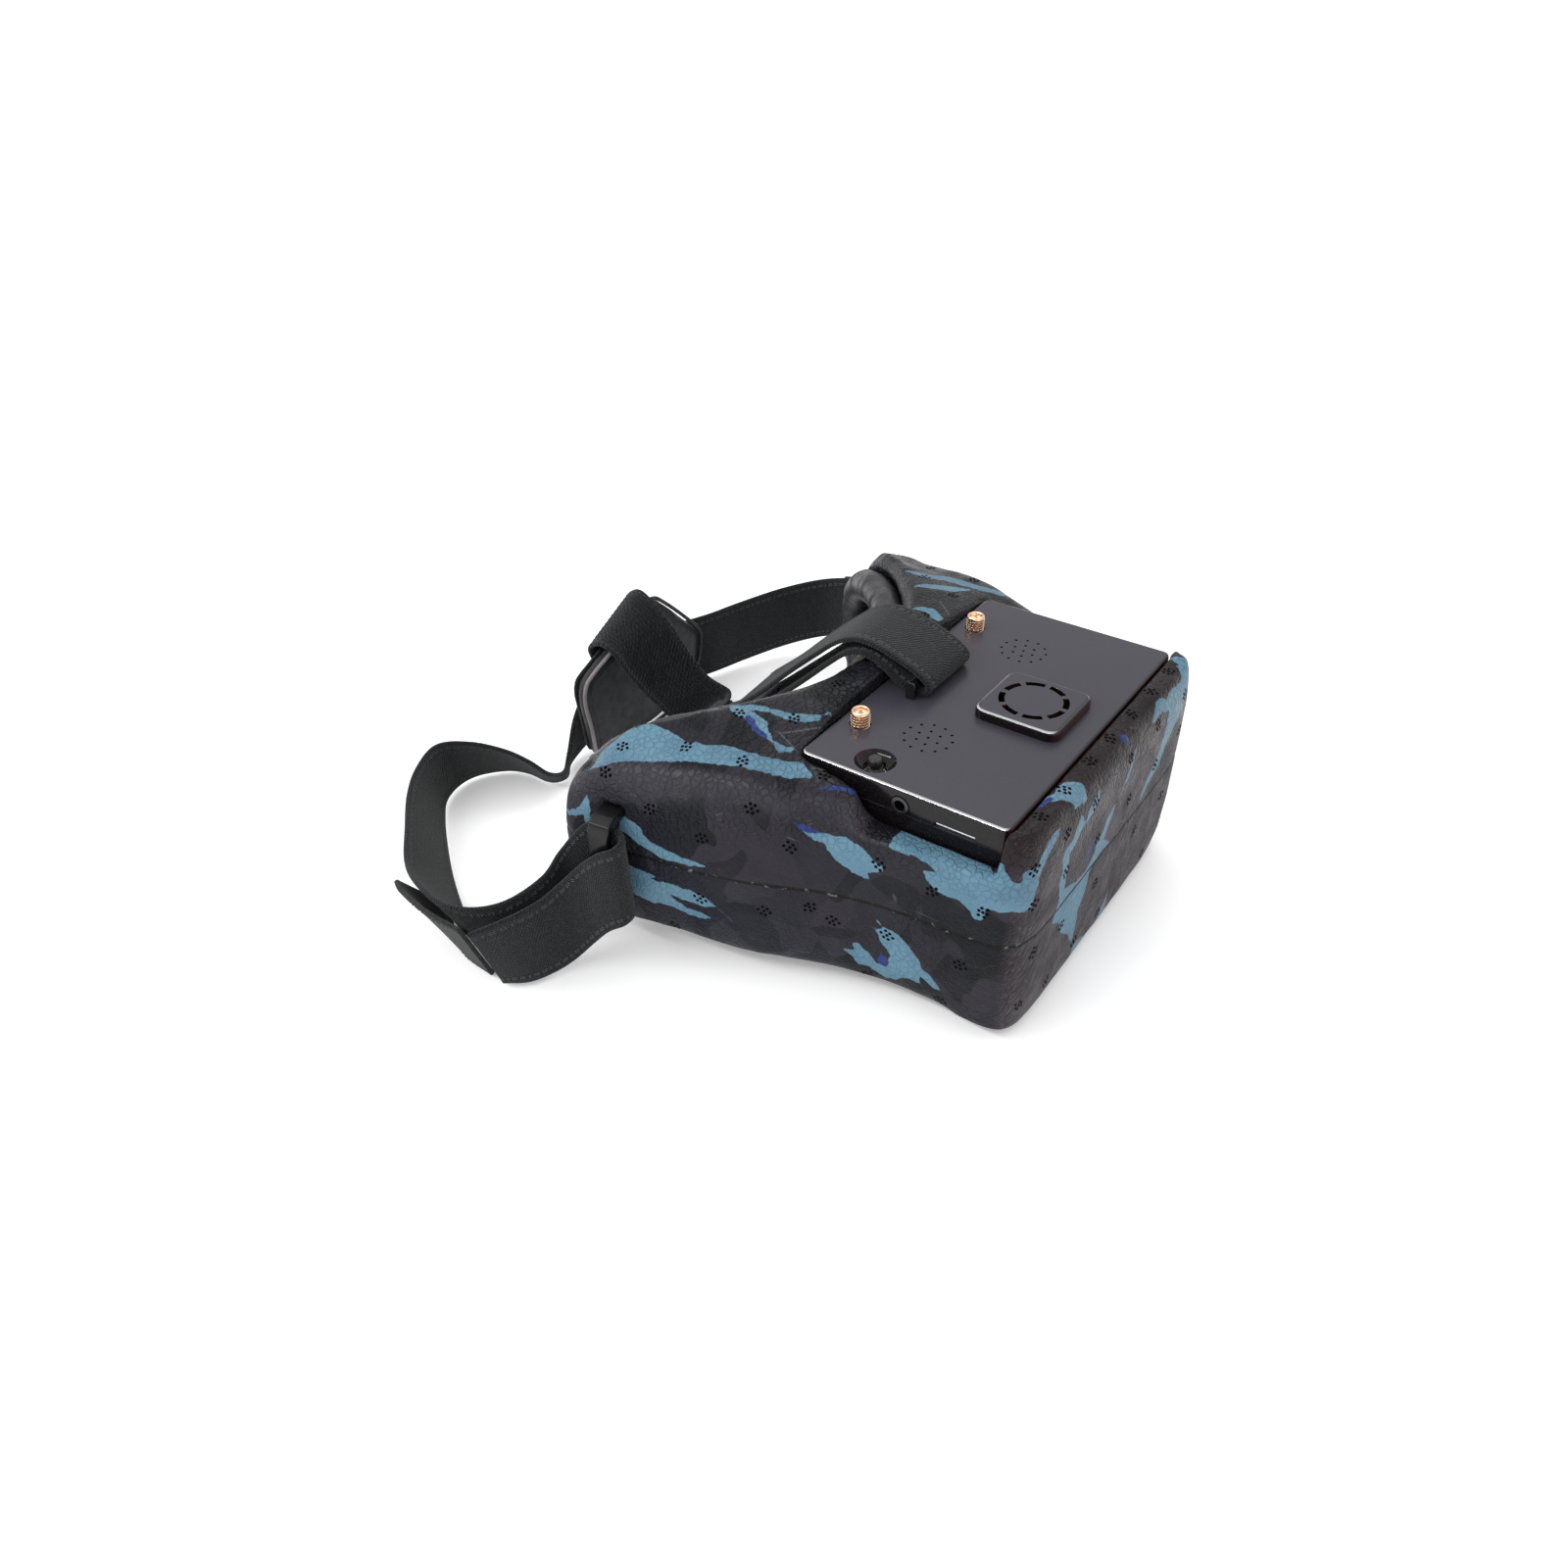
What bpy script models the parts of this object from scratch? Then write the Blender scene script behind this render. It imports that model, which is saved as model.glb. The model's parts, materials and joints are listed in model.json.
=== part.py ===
"""Box-type FPV goggles: an EPP foam body in two glued halves, a screen module
dropped into its top, folded optics inside, a padded face opening, and an
elastic head strap with a rear pad.

Frame: origin on the table directly below the centre of the module's top plate.
+X is the wearer's right, +Y is forward (away from the face), +Z is up.
All dimensions below are in millimetres and are scaled to metres on creation.
"""
import bpy
import bmesh
import math
from mathutils import Matrix, Vector
from mathutils.geometry import delaunay_2d_cdt

MM = 0.001

for ob in list(bpy.data.objects):
    bpy.data.objects.remove(ob, do_unlink=True)

# --------------------------------------------------------------------------
# Main dimensions
# --------------------------------------------------------------------------
PLATE_Z = 78.5            # top surface of the module plate
MOD_W, MOD_D = 122.2, 70.3
SEAM_Z = 70.2             # joint between module cover and module case
CASE_Z = 60.5             # underside of the module
WALL = 2.0
PART_Z = 41.5             # joint between the upper and lower foam shells
GAP = 0.3

SMA_X, SMA_Y = 38.0, -28.0
FAN_Y = 12.5
FAN_MID_Z = 77.1
SEAT_Z = 69.3              # where parts stand on the main board
FAN_SIZE = 25.0
PLINTH = 29.1
PLINTH_TOP = 82.1
STICK_X, STICK_Y = 52.7, -13.5
SPEAKER_X, SPEAKER_Y = 32.9, -6.7
JACK_Y, JACK_Z = 0.2, 72.7
CARD_Y0, CARD_Y1 = 11.7, 25.0
BOSS_X, BOSS_FRONT, BOSS_REAR = 50.0, 28.6, -26.5

STRAP_T = 1.6             # elastic webbing thickness
TOP_STRAP_W = 28.0
CLIP_Y = -22.8

# Outline of the foam body in plan, right half, front centre to rear centre:
# (x, y, top height, top edge inset, top roundness, bottom height, bottom inset)
FOAM = [
    (0.0, 45.6, 79.0, 7.0, 4.0, 0.0, 5.0),
    (30.0, 45.6, 79.0, 7.0, 4.0, 0.0, 5.0),
    (54.0, 45.3, 79.0, 7.0, 4.0, 0.8, 6.0),
    (63.3, 43.0, 79.0, 7.0, 4.0, 2.4, 8.0),
    (67.7, 37.0, 78.8, 7.0, 4.0, 4.0, 10.0),
    (68.8, 26.0, 78.0, 7.0, 4.0, 4.6, 12.0),
    (69.6, 14.0, 76.6, 7.0, 4.0, 4.8, 12.0),
    (71.2, 0.0, 74.8, 9.0, 3.6, 5.0, 12.0),
    (75.4, -15.8, 75.0, 13.0, 3.2, 5.4, 12.0),
    (80.8, -27.8, 76.6, 16.0, 3.0, 6.0, 12.0),
    (86.2, -40.0, 77.8, 18.0, 3.0, 6.8, 12.0),
    (89.9, -53.5, 77.3, 19.0, 2.9, 7.8, 12.0),
    (93.0, -69.0, 75.0, 19.0, 2.7, 9.0, 12.0),
    (96.2, -84.5, 70.5, 16.0, 2.5, 10.0, 11.0),
    (98.2, -96.0, 66.0, 13.0, 2.3, 10.5, 10.0),
    (94.8, -104.6, 64.0, 11.0, 2.2, 11.0, 9.0),
    (85.8, -104.6, 66.5, 9.0, 2.3, 11.0, 8.0),
    (74.8, -94.2, 73.5, 8.0, 2.5, 10.0, 8.0),
    (63.6, -81.6, 78.8, 8.0, 2.7, 9.0, 8.0),
    (52.0, -70.4, 81.8, 8.0, 3.0, 8.0, 8.0),
    (40.0, -60.8, 83.2, 8.0, 3.0, 7.0, 8.0),
    (28.0, -54.8, 83.5, 8.0, 3.0, 6.0, 8.0),
    (14.0, -51.6, 83.5, 8.0, 3.0, 5.5, 8.0),
    (0.0, -50.8, 83.5, 8.0, 3.0, 5.5, 8.0),
]

# Centres of the tight corners in plan: wing tip and front corner
CORNERS = [(86.0, -91.0), (56.0, 33.0)]

# --------------------------------------------------------------------------
# Helpers
# --------------------------------------------------------------------------


def catmull(p0, p1, p2, p3, t):
    """Point on a smooth curve between p1 and p2 (tuples of any length)."""
    return tuple(0.5 * (2 * b + (c - a) * t + (2 * a - 5 * b + 4 * c - d) * t * t
                        + (3 * b - a - 3 * c + d) * t ** 3)
                 for a, b, c, d in zip(p0, p1, p2, p3))


def smooth_open(points, sub):
    """Smooth open polyline through the points, sub steps per span."""
    out = []
    n = len(points)
    for i in range(n - 1):
        p0 = points[max(i - 1, 0)]
        p3 = points[min(i + 2, n - 1)]
        for k in range(sub):
            out.append(catmull(p0, points[i], points[i + 1], p3, k / sub))
    out.append(tuple(points[-1]))
    return out


def smooth_loop(points, sub):
    """Smooth closed polyline through the points, sub steps per span."""
    out = []
    n = len(points)
    for i in range(n):
        for k in range(sub):
            out.append(catmull(points[i - 1], points[i], points[(i + 1) % n],
                               points[(i + 2) % n], k / sub))
    return out


def make(name, verts, faces):
    """New mesh object from millimetre coordinates, normals outward."""
    me = bpy.data.meshes.new(name)
    me.from_pydata([tuple(c * MM for c in v) for v in verts], [], faces)
    bm = bmesh.new()
    bm.from_mesh(me)
    bmesh.ops.remove_doubles(bm, verts=bm.verts, dist=1e-6)
    bmesh.ops.recalc_face_normals(bm, faces=bm.faces)
    bm.to_mesh(me)
    bm.free()
    ob = bpy.data.objects.new(name, me)
    bpy.context.scene.collection.objects.link(ob)
    return ob


def skin(name, rings, loop=False):
    """Loft equal rings; single-point rings become poles. Ends are capped."""
    verts, index = [], []
    for r in rings:
        index.append(list(range(len(verts), len(verts) + len(r))))
        verts.extend(r)
    faces = []
    pairs = list(zip(index, index[1:]))
    if loop:
        pairs.append((index[-1], index[0]))
    for a, b in pairs:
        n = max(len(a), len(b))
        for i in range(n):
            j = (i + 1) % n
            if len(a) == 1:
                faces.append((a[0], b[j], b[i]))
            elif len(b) == 1:
                faces.append((a[i], a[j], b[0]))
            else:
                faces.append((a[i], a[j], b[j], b[i]))
    if not loop:
        if len(index[0]) > 1:
            faces.append(tuple(reversed(index[0])))
        if len(index[-1]) > 1:
            faces.append(tuple(index[-1]))
    return make(name, verts, faces)


def circle(r, n, cx=0.0, cy=0.0, z=0.0, phase=0.0):
    return [(cx + r * math.cos(phase + 2 * math.pi * i / n),
             cy + r * math.sin(phase + 2 * math.pi * i / n), z) for i in range(n)]


def turned(name, profile, n, cx=0.0, cy=0.0, loop=False, phase=0.0):
    """Solid turned about a vertical axis from (radius, z) steps."""
    rings = [[(cx, cy, z)] if r == 0 else circle(r, n, cx, cy, z, phase)
             for r, z in profile]
    return skin(name, rings, loop)


def cylinder_x(name, x0, x1, y, z, r, n=20):
    rings = [[(x, y + r * math.cos(2 * math.pi * i / n), z + r * math.sin(2 * math.pi * i / n))
              for i in range(n)] for x in (x0, x1)]
    return skin(name, rings)


def rect_outline(w, d, r, seg=4, cx=0.0, cy=0.0, inset=0.0):
    """Rounded rectangle outline, counter-clockwise, as (x, y)."""
    hw, hd = w / 2 - inset, d / 2 - inset
    r = max(r - inset, 0.15)
    pts = []
    for sx, sy, a0 in ((1, 1, 0), (-1, 1, 90), (-1, -1, 180), (1, -1, 270)):
        for k in range(seg + 1):
            a = math.radians(a0 + 90.0 * k / seg)
            pts.append((cx + sx * (hw - r) + r * math.cos(a),
                        cy + sy * (hd - r) + r * math.sin(a)))
    return pts


def slab(name, w, d, r, levels, cx=0.0, cy=0.0, seg=4):
    """Rounded-rectangle prism; levels are (z, inset) from bottom to top."""
    rings = [[(x, y, z) for x, y in rect_outline(w, d, r, seg, cx, cy, inset)]
             for z, inset in levels]
    return skin(name, rings)


def box(name, x0, x1, y0, y1, z0, z1):
    ring = [(x0, y0), (x1, y0), (x1, y1), (x0, y1)]
    return skin(name, [[(x, y, z) for x, y in ring] for z in (z0, z1)])


def prism_x(name, x0, x1, outline):
    """Prism along X from a (y, z) outline."""
    return skin(name, [[(x, y, z) for y, z in outline] for x in (x0, x1)])


def boolean(target, tools, kind):
    for tool in tools:
        mod = target.modifiers.new("b", "BOOLEAN")
        mod.operation = kind
        mod.solver = "EXACT"
        mod.object = tool
        deps = bpy.context.evaluated_depsgraph_get()
        done = bpy.data.meshes.new_from_object(target.evaluated_get(deps))
        target.modifiers.clear()
        target.data = done
        bpy.data.objects.remove(tool, do_unlink=True)
    return target


def cut(target, *tools):
    return boolean(target, tools, "DIFFERENCE")


def join(target, *tools):
    return boolean(target, tools, "UNION")


def tidy(ob):
    """Merge stray close vertices and dissolve degenerate edges."""
    bm = bmesh.new()
    bm.from_mesh(ob.data)
    bmesh.ops.remove_doubles(bm, verts=bm.verts, dist=2e-6)
    bmesh.ops.dissolve_degenerate(bm, edges=bm.edges, dist=2e-6)
    bmesh.ops.dissolve_limit(bm, angle_limit=math.radians(0.3), verts=bm.verts,
                             edges=bm.edges, delimit={"NORMAL"})
    bmesh.ops.triangulate(bm, faces=[f for f in bm.faces if len(f.verts) > 4])
    bm.to_mesh(ob.data)
    bm.free()
    return ob


def ribbon(name, sections, sub=3, t=STRAP_T):
    """Webbing of thickness t through (lower edge point, upper edge point) pairs."""
    flat = smooth_open([tuple(a) + tuple(b) for a, b in sections], sub)
    rows = [(Vector(p[:3]), Vector(p[3:])) for p in flat]
    mids = [(a + b) / 2 for a, b in rows]
    rings = []
    for i, (lo, hi) in enumerate(rows):
        along = mids[min(i + 1, len(rows) - 1)] - mids[max(i - 1, 0)]
        across = (hi - lo).normalized()
        n = along.cross(across).normalized() * (t / 2)
        mid = (lo + hi) / 2
        rings.append([tuple(p) for p in (lo - n, lo + n, mid + n, hi + n, hi - n, mid - n)])
    return skin(name, rings)


# --------------------------------------------------------------------------
# Foam body
# --------------------------------------------------------------------------


def foam_rings(sub=2, top_steps=7, bottom_steps=5):
    full = [tuple(s) for s in FOAM] + [(-s[0],) + tuple(s[1:]) for s in reversed(FOAM[1:-1])]
    pts = smooth_loop(full, sub)
    n = len(pts)
    inward = []
    for i in range(n):
        tx = pts[(i + 1) % n][0] - pts[i - 1][0]
        ty = pts[(i + 1) % n][1] - pts[i - 1][1]
        length = math.hypot(tx, ty)
        mx, my, reach = ty / length, -tx / length, 1e9
        # round a tight corner towards its centre, so the inset never folds over
        for cx, cy in CORNERS:
            dx, dy = math.copysign(cx, pts[i][0]) - pts[i][0], cy - pts[i][1]
            d = math.hypot(dx, dy)
            w = min(max((21.0 - d) / 6.0, 0.0), 1.0)
            if w > 0:
                mx, my = (1 - w) * mx + w * dx / d, (1 - w) * my + w * dy / d
                reach = min(reach, 0.62 * d / w)
        length = math.hypot(mx, my)
        inward.append((mx / length, my / length))
        pts[i] = pts[i][:3] + (min(pts[i][3], reach),) + pts[i][4:6] + (min(pts[i][6], reach),)
    rings = []
    for k in range(bottom_steps + 1):
        a = math.pi / 2 * k / bottom_steps
        row = []
        for p, m in zip(pts, inward):
            u = math.sin(a) ** 0.5 if k else 0.0
            v = math.cos(a) ** 0.5 if k < bottom_steps else 0.0
            z = PART_Z + (p[5] - PART_Z) * v
            row.append((p[0] + m[0] * p[6] * (1 - u), p[1] + m[1] * p[6] * (1 - u), z))
        rings.append(row)
    for k in range(1, top_steps + 1):
        a = math.pi / 2 * k / top_steps
        row = []
        for p, m in zip(pts, inward):
            e = 2.0 / p[4]
            u = math.cos(a) ** e if k < top_steps else 0.0
            v = math.sin(a) ** e
            z = PART_Z + (p[2] - PART_Z) * v
            row.append((p[0] + m[0] * p[3] * (1 - u), p[1] + m[1] * p[3] * (1 - u), z))
        rings.append(row)
    return rings


def height_at(x, y, column):
    """Blend of the station heights, nearest stations weighing most."""
    total = weight = 0.0
    for s in FOAM:
        for side in (1, -1):
            d = (x - side * s[0]) ** 2 + (y - s[1]) ** 2
            w = 1.0 / (d * d + 400.0)
            total += w * s[column]
            weight += w
    return total / weight


def foam_body():
    rings = foam_rings()
    verts, faces = [], []
    n = len(rings[0])
    for r in rings:
        verts.extend(r)
    for k in range(len(rings) - 1):
        for i in range(n):
            j = (i + 1) % n
            faces.append((k * n + i, k * n + j, (k + 1) * n + j, (k + 1) * n + i))
    # caps: constrained triangulation with a few interior points
    for ring_no, column in ((0, 5), (len(rings) - 1, 2)):
        base = ring_no * n
        edge = [Vector((p[0], p[1])) for p in rings[ring_no]]
        inner = []
        for gx in range(-80, 81, 16):
            for gy in range(-84, 41, 14):
                p = Vector((gx, gy))
                if min((p - e).length for e in edge) < 7:
                    continue
                inside = False
                for i in range(n):
                    a, b = edge[i], edge[(i + 1) % n]
                    if (a.y > gy) != (b.y > gy) and \
                            gx < (b.x - a.x) * (gy - a.y) / (b.y - a.y) + a.x:
                        inside = not inside
                if inside:
                    inner.append(p)
        co = edge + inner
        res = delaunay_2d_cdt(co, [(i, (i + 1) % n) for i in range(n)], [], 1, 1e-5)
        where = {}
        for i, origins in enumerate(res[3]):
            if origins and origins[0] < n:
                where[i] = base + origins[0]
            else:
                p = res[0][i]
                where[i] = len(verts)
                # the underside is flat except towards the sides and the wings
                flat = column == 5 and abs(p.x) < 50 and p.y > -30
                verts.append((p.x, p.y, 0.0 if flat else height_at(p.x, p.y, column)))
        for f in res[2]:
            faces.append(tuple(where[i] for i in f))
    return make("foam", verts, faces)


REAR = [(0, -50.8), (14, -51.6), (28, -54.8), (40, -60.8), (52, -70.0),
        (63.6, -81.6), (74.8, -94.2), (85.8, -104.6), (94, -107.0)]


def rear_y(x):
    """Face-side surface of the foam at a distance x from the middle."""
    x = abs(x)
    for (x0, y0), (x1, y1) in zip(REAR, REAR[1:]):
        if x <= x1:
            return y0 + (y1 - y0) * (x - x0) / (x1 - x0)
    return REAR[-1][1]


# Centre line of the face cushion, right half, top middle to bottom middle (x, z)
CUSHION = [(0, 66.0), (24, 67.0), (46, 68.6), (62, 67.2), (74, 61.0), (81.4, 51.0), (83.4, 39.5),
           (79.8, 28.5), (70.0, 21.5), (54, 19.5), (38, 19.8), (25, 24.0), (12, 31.0), (0, 34.0)]
CUSHION_R, CUSHION_DEEP = 7.8, 7.2


def cushion_tube(name, grow):
    """Padded roll round the face opening."""
    half = [(x, rear_y(x) - 2.2, z) for x, z in CUSHION]
    path = smooth_loop(half + [(-x, y, z) for x, y, z in reversed(half[1:-1])], 2)
    n = len(path)
    rings = []
    for i, p in enumerate(path):
        q0, q1 = Vector(path[i - 1]), Vector(path[(i + 1) % n])
        along = (q1 - q0).normalized()
        # the roll's depth direction is square to the face surface
        dx = 1.5
        slope = (rear_y(p[0] + dx) - rear_y(p[0] - dx)) / (2 * dx)
        deep = Vector((slope, -1.0, 0.0)).normalized()
        side = along.cross(deep).normalized()
        deep = side.cross(along).normalized()
        ring = []
        for k in range(10):
            a = 2 * math.pi * k / 10
            wide = side * (CUSHION_R + grow) * math.cos(a)
            high = deep * (CUSHION_DEEP + grow) * math.sin(a)
            ring.append(tuple(Vector(p) + wide + high))
        rings.append(ring)
    return skin(name, rings, loop=True)


def eye_cavity(name):
    """Tapering hollow from the face opening down to the lens."""
    rings = []
    for y, hw, z0, z1 in ((-120.0, 84.0, 23.0, 66.0), (-85.0, 74.0, 19.5, 63.5),
                          (-60.0, 66.5, 14.0, 60.0), (-40.0, 60.5, 9.5, 55.5)):
        cz, hz = (z0 + z1) / 2, (z1 - z0) / 2
        ring = []
        for k in range(28):
            a = 2 * math.pi * k / 28
            c, s = math.cos(a), math.sin(a)
            ring.append((hw * math.copysign(abs(c) ** 0.5, c), y,
                         cz + hz * math.copysign(abs(s) ** 0.5, s)))
        rings.append(ring)
    return skin(name, rings)


def nose_notch(name):
    ring = []
    for k in range(17):
        a = math.pi * k / 16
        ring.append((21.0 * math.cos(a), 26.0 * math.sin(a) ** 0.9 if 0 < k < 16 else 0.0))
    ring += [(-24.0, -6.0), (24.0, -6.0)]
    return skin(name, [[(x, y, z) for x, z in ring] for y in (-125.0, -44.0)])


foam = foam_body()
well = prism_x("well", -59.0, 59.0, [(-36.2, 7.5), (-15.5, 7.5), (37.5, 52.0), (37.5, 54.0), (-36.2, 54.0)])
side_notches = []
for side in (1, -1):
    x0, x1 = sorted((side * 60.9, side * 90.0))
    side_notches.append(prism_x("notch", x0, x1, [(-5.5, 65.2), (33.0, 65.2), (35.0, 67.0),
                                                  (35.3, 95.0), (-15.0, 95.0), (-12.5, 76.0), (-9.5, 68.0)]))

# --------------------------------------------------------------------------
# Side strap loops: staple-shaped webbing loops keyed into the foam wings
# --------------------------------------------------------------------------
LOOP_AT = (95.4, -82.0)          # point on the wing wall
LOOP_OUT = (0.986, 0.166)        # outward normal in plan
LOOP_Z0, LOOP_Z1 = 19.5, 58.0


def loop_point(out, tang, z, side):
    """Point at 'out' from the wall, 'tang' along it (towards the front)."""
    x = LOOP_AT[0] + LOOP_OUT[0] * out - LOOP_OUT[1] * tang
    y = LOOP_AT[1] + LOOP_OUT[1] * out + LOOP_OUT[0] * tang
    return (side * x, y, z)


def loop_prism(name, outline, half_width, side):
    """Prism across the loop from an (out, z) outline."""
    return skin(name, [[loop_point(o, t, z, side) for o, z in outline]
                       for t in (-half_width, half_width)])


def strap_loop(name, side):
    z0, z1 = LOOP_Z0, LOOP_Z1
    outer = [(-6.0, z0), (6.0, z0), (8.4, z0 + 1.2), (9.6, z0 + 4.0), (9.6, z1 - 5.5),
             (8.2, z1 - 1.8), (5.4, z1), (-6.0, z1)]
    inner = [(-6.0, z1 - 3.2), (4.8, z1 - 3.2), (6.4, z1 - 4.8), (6.8, z1 - 7.0), (6.8, z0 + 5.0),
             (5.6, z0 + 3.2), (-6.0, z0 + 3.2)]
    staple = loop_prism(name, outer + inner, 3.7, side)
    flange = loop_prism("flange", [(-7.6, z0 - 4.0), (-5.2, z0 - 4.0), (-5.2, z1 + 4.0), (-7.6, z1 + 4.0)],
                        4.6, side)
    return tidy(join(staple, flange))


def loop_seats(side):
    """Cavities in the foam for the loop's flange and its two arms."""
    g = GAP
    z0, z1 = LOOP_Z0, LOOP_Z1
    flange = loop_prism("s", [(-7.6 - g, z0 - 4.0 - g), (-5.2 + g, z0 - 4.0 - g),
                              (-5.2 + g, z1 + 4.0 + g), (-7.6 - g, z1 + 4.0 + g)], 4.6 + g, side)
    arms = [loop_prism("s", [(-6.5, a - g), (12.0, a - g), (12.0, b + g), (-6.5, b + g)], 3.7 + g, side)
            for a, b in ((z0, z0 + 3.2), (z1 - 3.2, z1))]
    return [flange] + arms


cut(foam,
    slab("pocket", MOD_W + 0.7, MOD_D + 0.7, 2.6, [(CASE_Z - GAP, 0), (120.0, 0)]),
    slab("window", 113.0, 61.5, 3.0, [(50.0, 0), (62.0, 0)]),
    well,
    box("lens_seat", -62.5, 62.5, -41.2, -36.1, 7.1, 57.1),
    eye_cavity("eyes"),
    nose_notch("nose"),
    *side_notches)
cut(foam, cushion_tube("seat", 0.35))
cut(foam, *(loop_seats(1) + loop_seats(-1)))

# the body is moulded in two halves glued at the parting plane
lower_tool = box("t", -150, 150, -160, 90, PART_Z - 0.15, 150)
upper_tool = box("t", -150, 150, -160, 90, -50, PART_Z + 0.15)
foam_low = foam.copy()
foam_low.data = foam.data.copy()
bpy.context.scene.collection.objects.link(foam_low)
foam_low.name = "foam_shell_lower"
foam.name = "foam_shell_upper"
tidy(cut(foam, upper_tool))
tidy(cut(foam_low, lower_tool))
strap_loop("strap_loop_right", 1)
strap_loop("strap_loop_left", -1)
cushion_tube("face_cushion", 0.0)

# --------------------------------------------------------------------------
# Folded optics
# --------------------------------------------------------------------------
SLOPE = math.atan2(52.0 - 7.5, 37.5 + 15.5)


def on_slope(s, h):
    """(y, z) at distance s up the mirror ramp and height h above it."""
    return (-15.5 + s * math.cos(SLOPE) - h * math.sin(SLOPE),
            7.5 + s * math.sin(SLOPE) + h * math.cos(SLOPE))


prism_x("mirror_bracket", -57.5, 57.5,
        [on_slope(s, h) for s, h in ((2.0, 0.3), (65.2, 0.3), (65.2, 5.6), (62.2, 5.6), (62.2, 4.9),
                                     (63.4, 4.9), (63.4, 1.8), (3.8, 1.8), (3.8, 4.9), (5.0, 4.9),
                                     (5.0, 5.6), (2.0, 5.6))])
prism_x("mirror_glass", -56.0, 56.0,
        [on_slope(s, h) for s, h in ((4.1, 2.1), (63.1, 2.1), (63.1, 4.6), (4.1, 4.6))])


def upright_plate(name, w, z0, z1, y0, y1, r, seg=3):
    """Rounded plate standing across Y."""
    pts = rect_outline(w, z1 - z0, r, seg, 0.0, (z0 + z1) / 2)
    return skin(name, [[(x, y, z) for x, z in pts] for y in (y0, y1)])


lens_frame = upright_plate("lens_frame", 124.2, 7.5, 56.7, -40.8, -36.5, 2.0)
cut(lens_frame,
    upright_plate("t", 112.0, 12.0, 52.2, -50.0, -30.0, 3.0),
    upright_plate("t", 117.0, 9.8, 54.4, -50.0, -38.3, 3.0))
tidy(lens_frame)
upright_plate("fresnel_lens", 116.2, 10.2, 54.0, -40.6, -38.6, 2.6)

# --------------------------------------------------------------------------
# Screen module: case, screen, board and electronics
# --------------------------------------------------------------------------
case = slab("module_case", MOD_W, MOD_D, 2.5, [(CASE_Z, 0.9), (CASE_Z + 0.9, 0), (SEAM_Z - 0.15, 0)])
cut(case,
    slab("t", MOD_W - 2 * WALL, MOD_D - 2 * WALL, 1.2, [(62.5, 0), (75.0, 0)], seg=2),
    slab("t", 108.0, 59.0, 2.0, [(55.0, 0), (65.0, 0)], seg=2),
    slab("t", 113.2, 63.4, 2.0, [(55.0, 0), (61.8, 0)], seg=2),
    cylinder_x("t", 57.0, 65.0, JACK_Y, JACK_Z, 3.3))
tidy(case)

slab("screen_window", 112.4, 62.6, 1.8, [(60.7, 0), (61.5, 0)], seg=2)
slab("lcd_panel", 114.0, 65.0, 1.0, [(62.8, 0), (65.7, 0)], seg=2)

board = slab("main_board", 115.4, 63.0, 1.0, [(67.4, 0), (69.0, 0)], seg=2)
bosses = [(sx * BOSS_X, y) for sx in (1, -1) for y in (BOSS_FRONT, BOSS_REAR)]
cut(board, *[turned("t", [(1.15, 66.0), (1.15, 70.0)], 12, x, y) for x, y in bosses])
tidy(board)
for i, (x, y) in enumerate(bosses):
    turned("board_screw_%d" % (i + 1),
           [(0, 66.0), (1.7, 66.0), (1.9, 66.3), (1.9, 67.1), (0.8, 67.1), (0.8, 73.2), (0, 73.8)], 12, x, y)

cover = slab("module_cover", MOD_W, MOD_D, 2.5,
             [(SEAM_Z + 0.15, 0), (77.2, 0), (77.9, 0.2), (78.3, 0.6), (PLATE_Z, 1.2)])
cut(cover, slab("t", MOD_W - 2 * WALL, MOD_D - 2 * WALL, 1.2, [(60.0, 0), (76.5, 0)], seg=2))
join(cover,
     slab("t", PLINTH, PLINTH, 4.2,
          [(77.6, 0), (80.6, 0), (81.4, 0.3), (81.9, 0.9), (PLINTH_TOP, 1.8)], 0, FAN_Y),
     turned("t", [(0, 74.5), (7.5, 74.5), (7.5, 77.4), (0, 77.4)], 24, STICK_X, STICK_Y),
     *[turned("t", [(0, SEAT_Z), (2.7, SEAT_Z), (2.7, 77.2), (0, 77.2)], 14, x, y) for x, y in bosses])
cut(cover,
    slab("t", 25.7, 25.7, 2.0, [(70.0, 0), (80.6, 0)], 0, FAN_Y, seg=2),
    turned("t", [(0, 80.0), (7.2, 80.0), (6.4, 78.4), (5.7, 77.3), (4.7, 76.5), (3.9, 76.1),
                 (3.9, 73.0), (0, 73.0)], 24, STICK_X, STICK_Y),
    cylinder_x("t", 57.0, 65.0, JACK_Y, JACK_Z, 3.3),
    box("t", 58.0, 63.0, CARD_Y0, CARD_Y1, 66.0, 71.8),
    *[turned("t", [(3.5, 75.0), (3.5, 80.0)], 20, s * SMA_X, SMA_Y) for s in (1, -1)])
cut(cover, *[turned("t", [(1.1, 66.0), (1.1, 74.4)], 10, x, y) for x, y in bosses])
# sound holes: one, six and twelve in rings
holes = []
for s in (1, -1):
    holes.append((s * SPEAKER_X, SPEAKER_Y))
    for count, radius in ((6, 3.8), (12, 7.6)):
        for k in range(count):
            a = 2 * math.pi * (k + 0.25 * (count // 6)) / count
            holes.append((s * SPEAKER_X + radius * math.cos(a), SPEAKER_Y + radius * math.sin(a)))
cut(cover, *[turned("t", [(0.55, 75.0), (0.55, 80.0)], 6, x, y) for x, y in holes])
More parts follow.
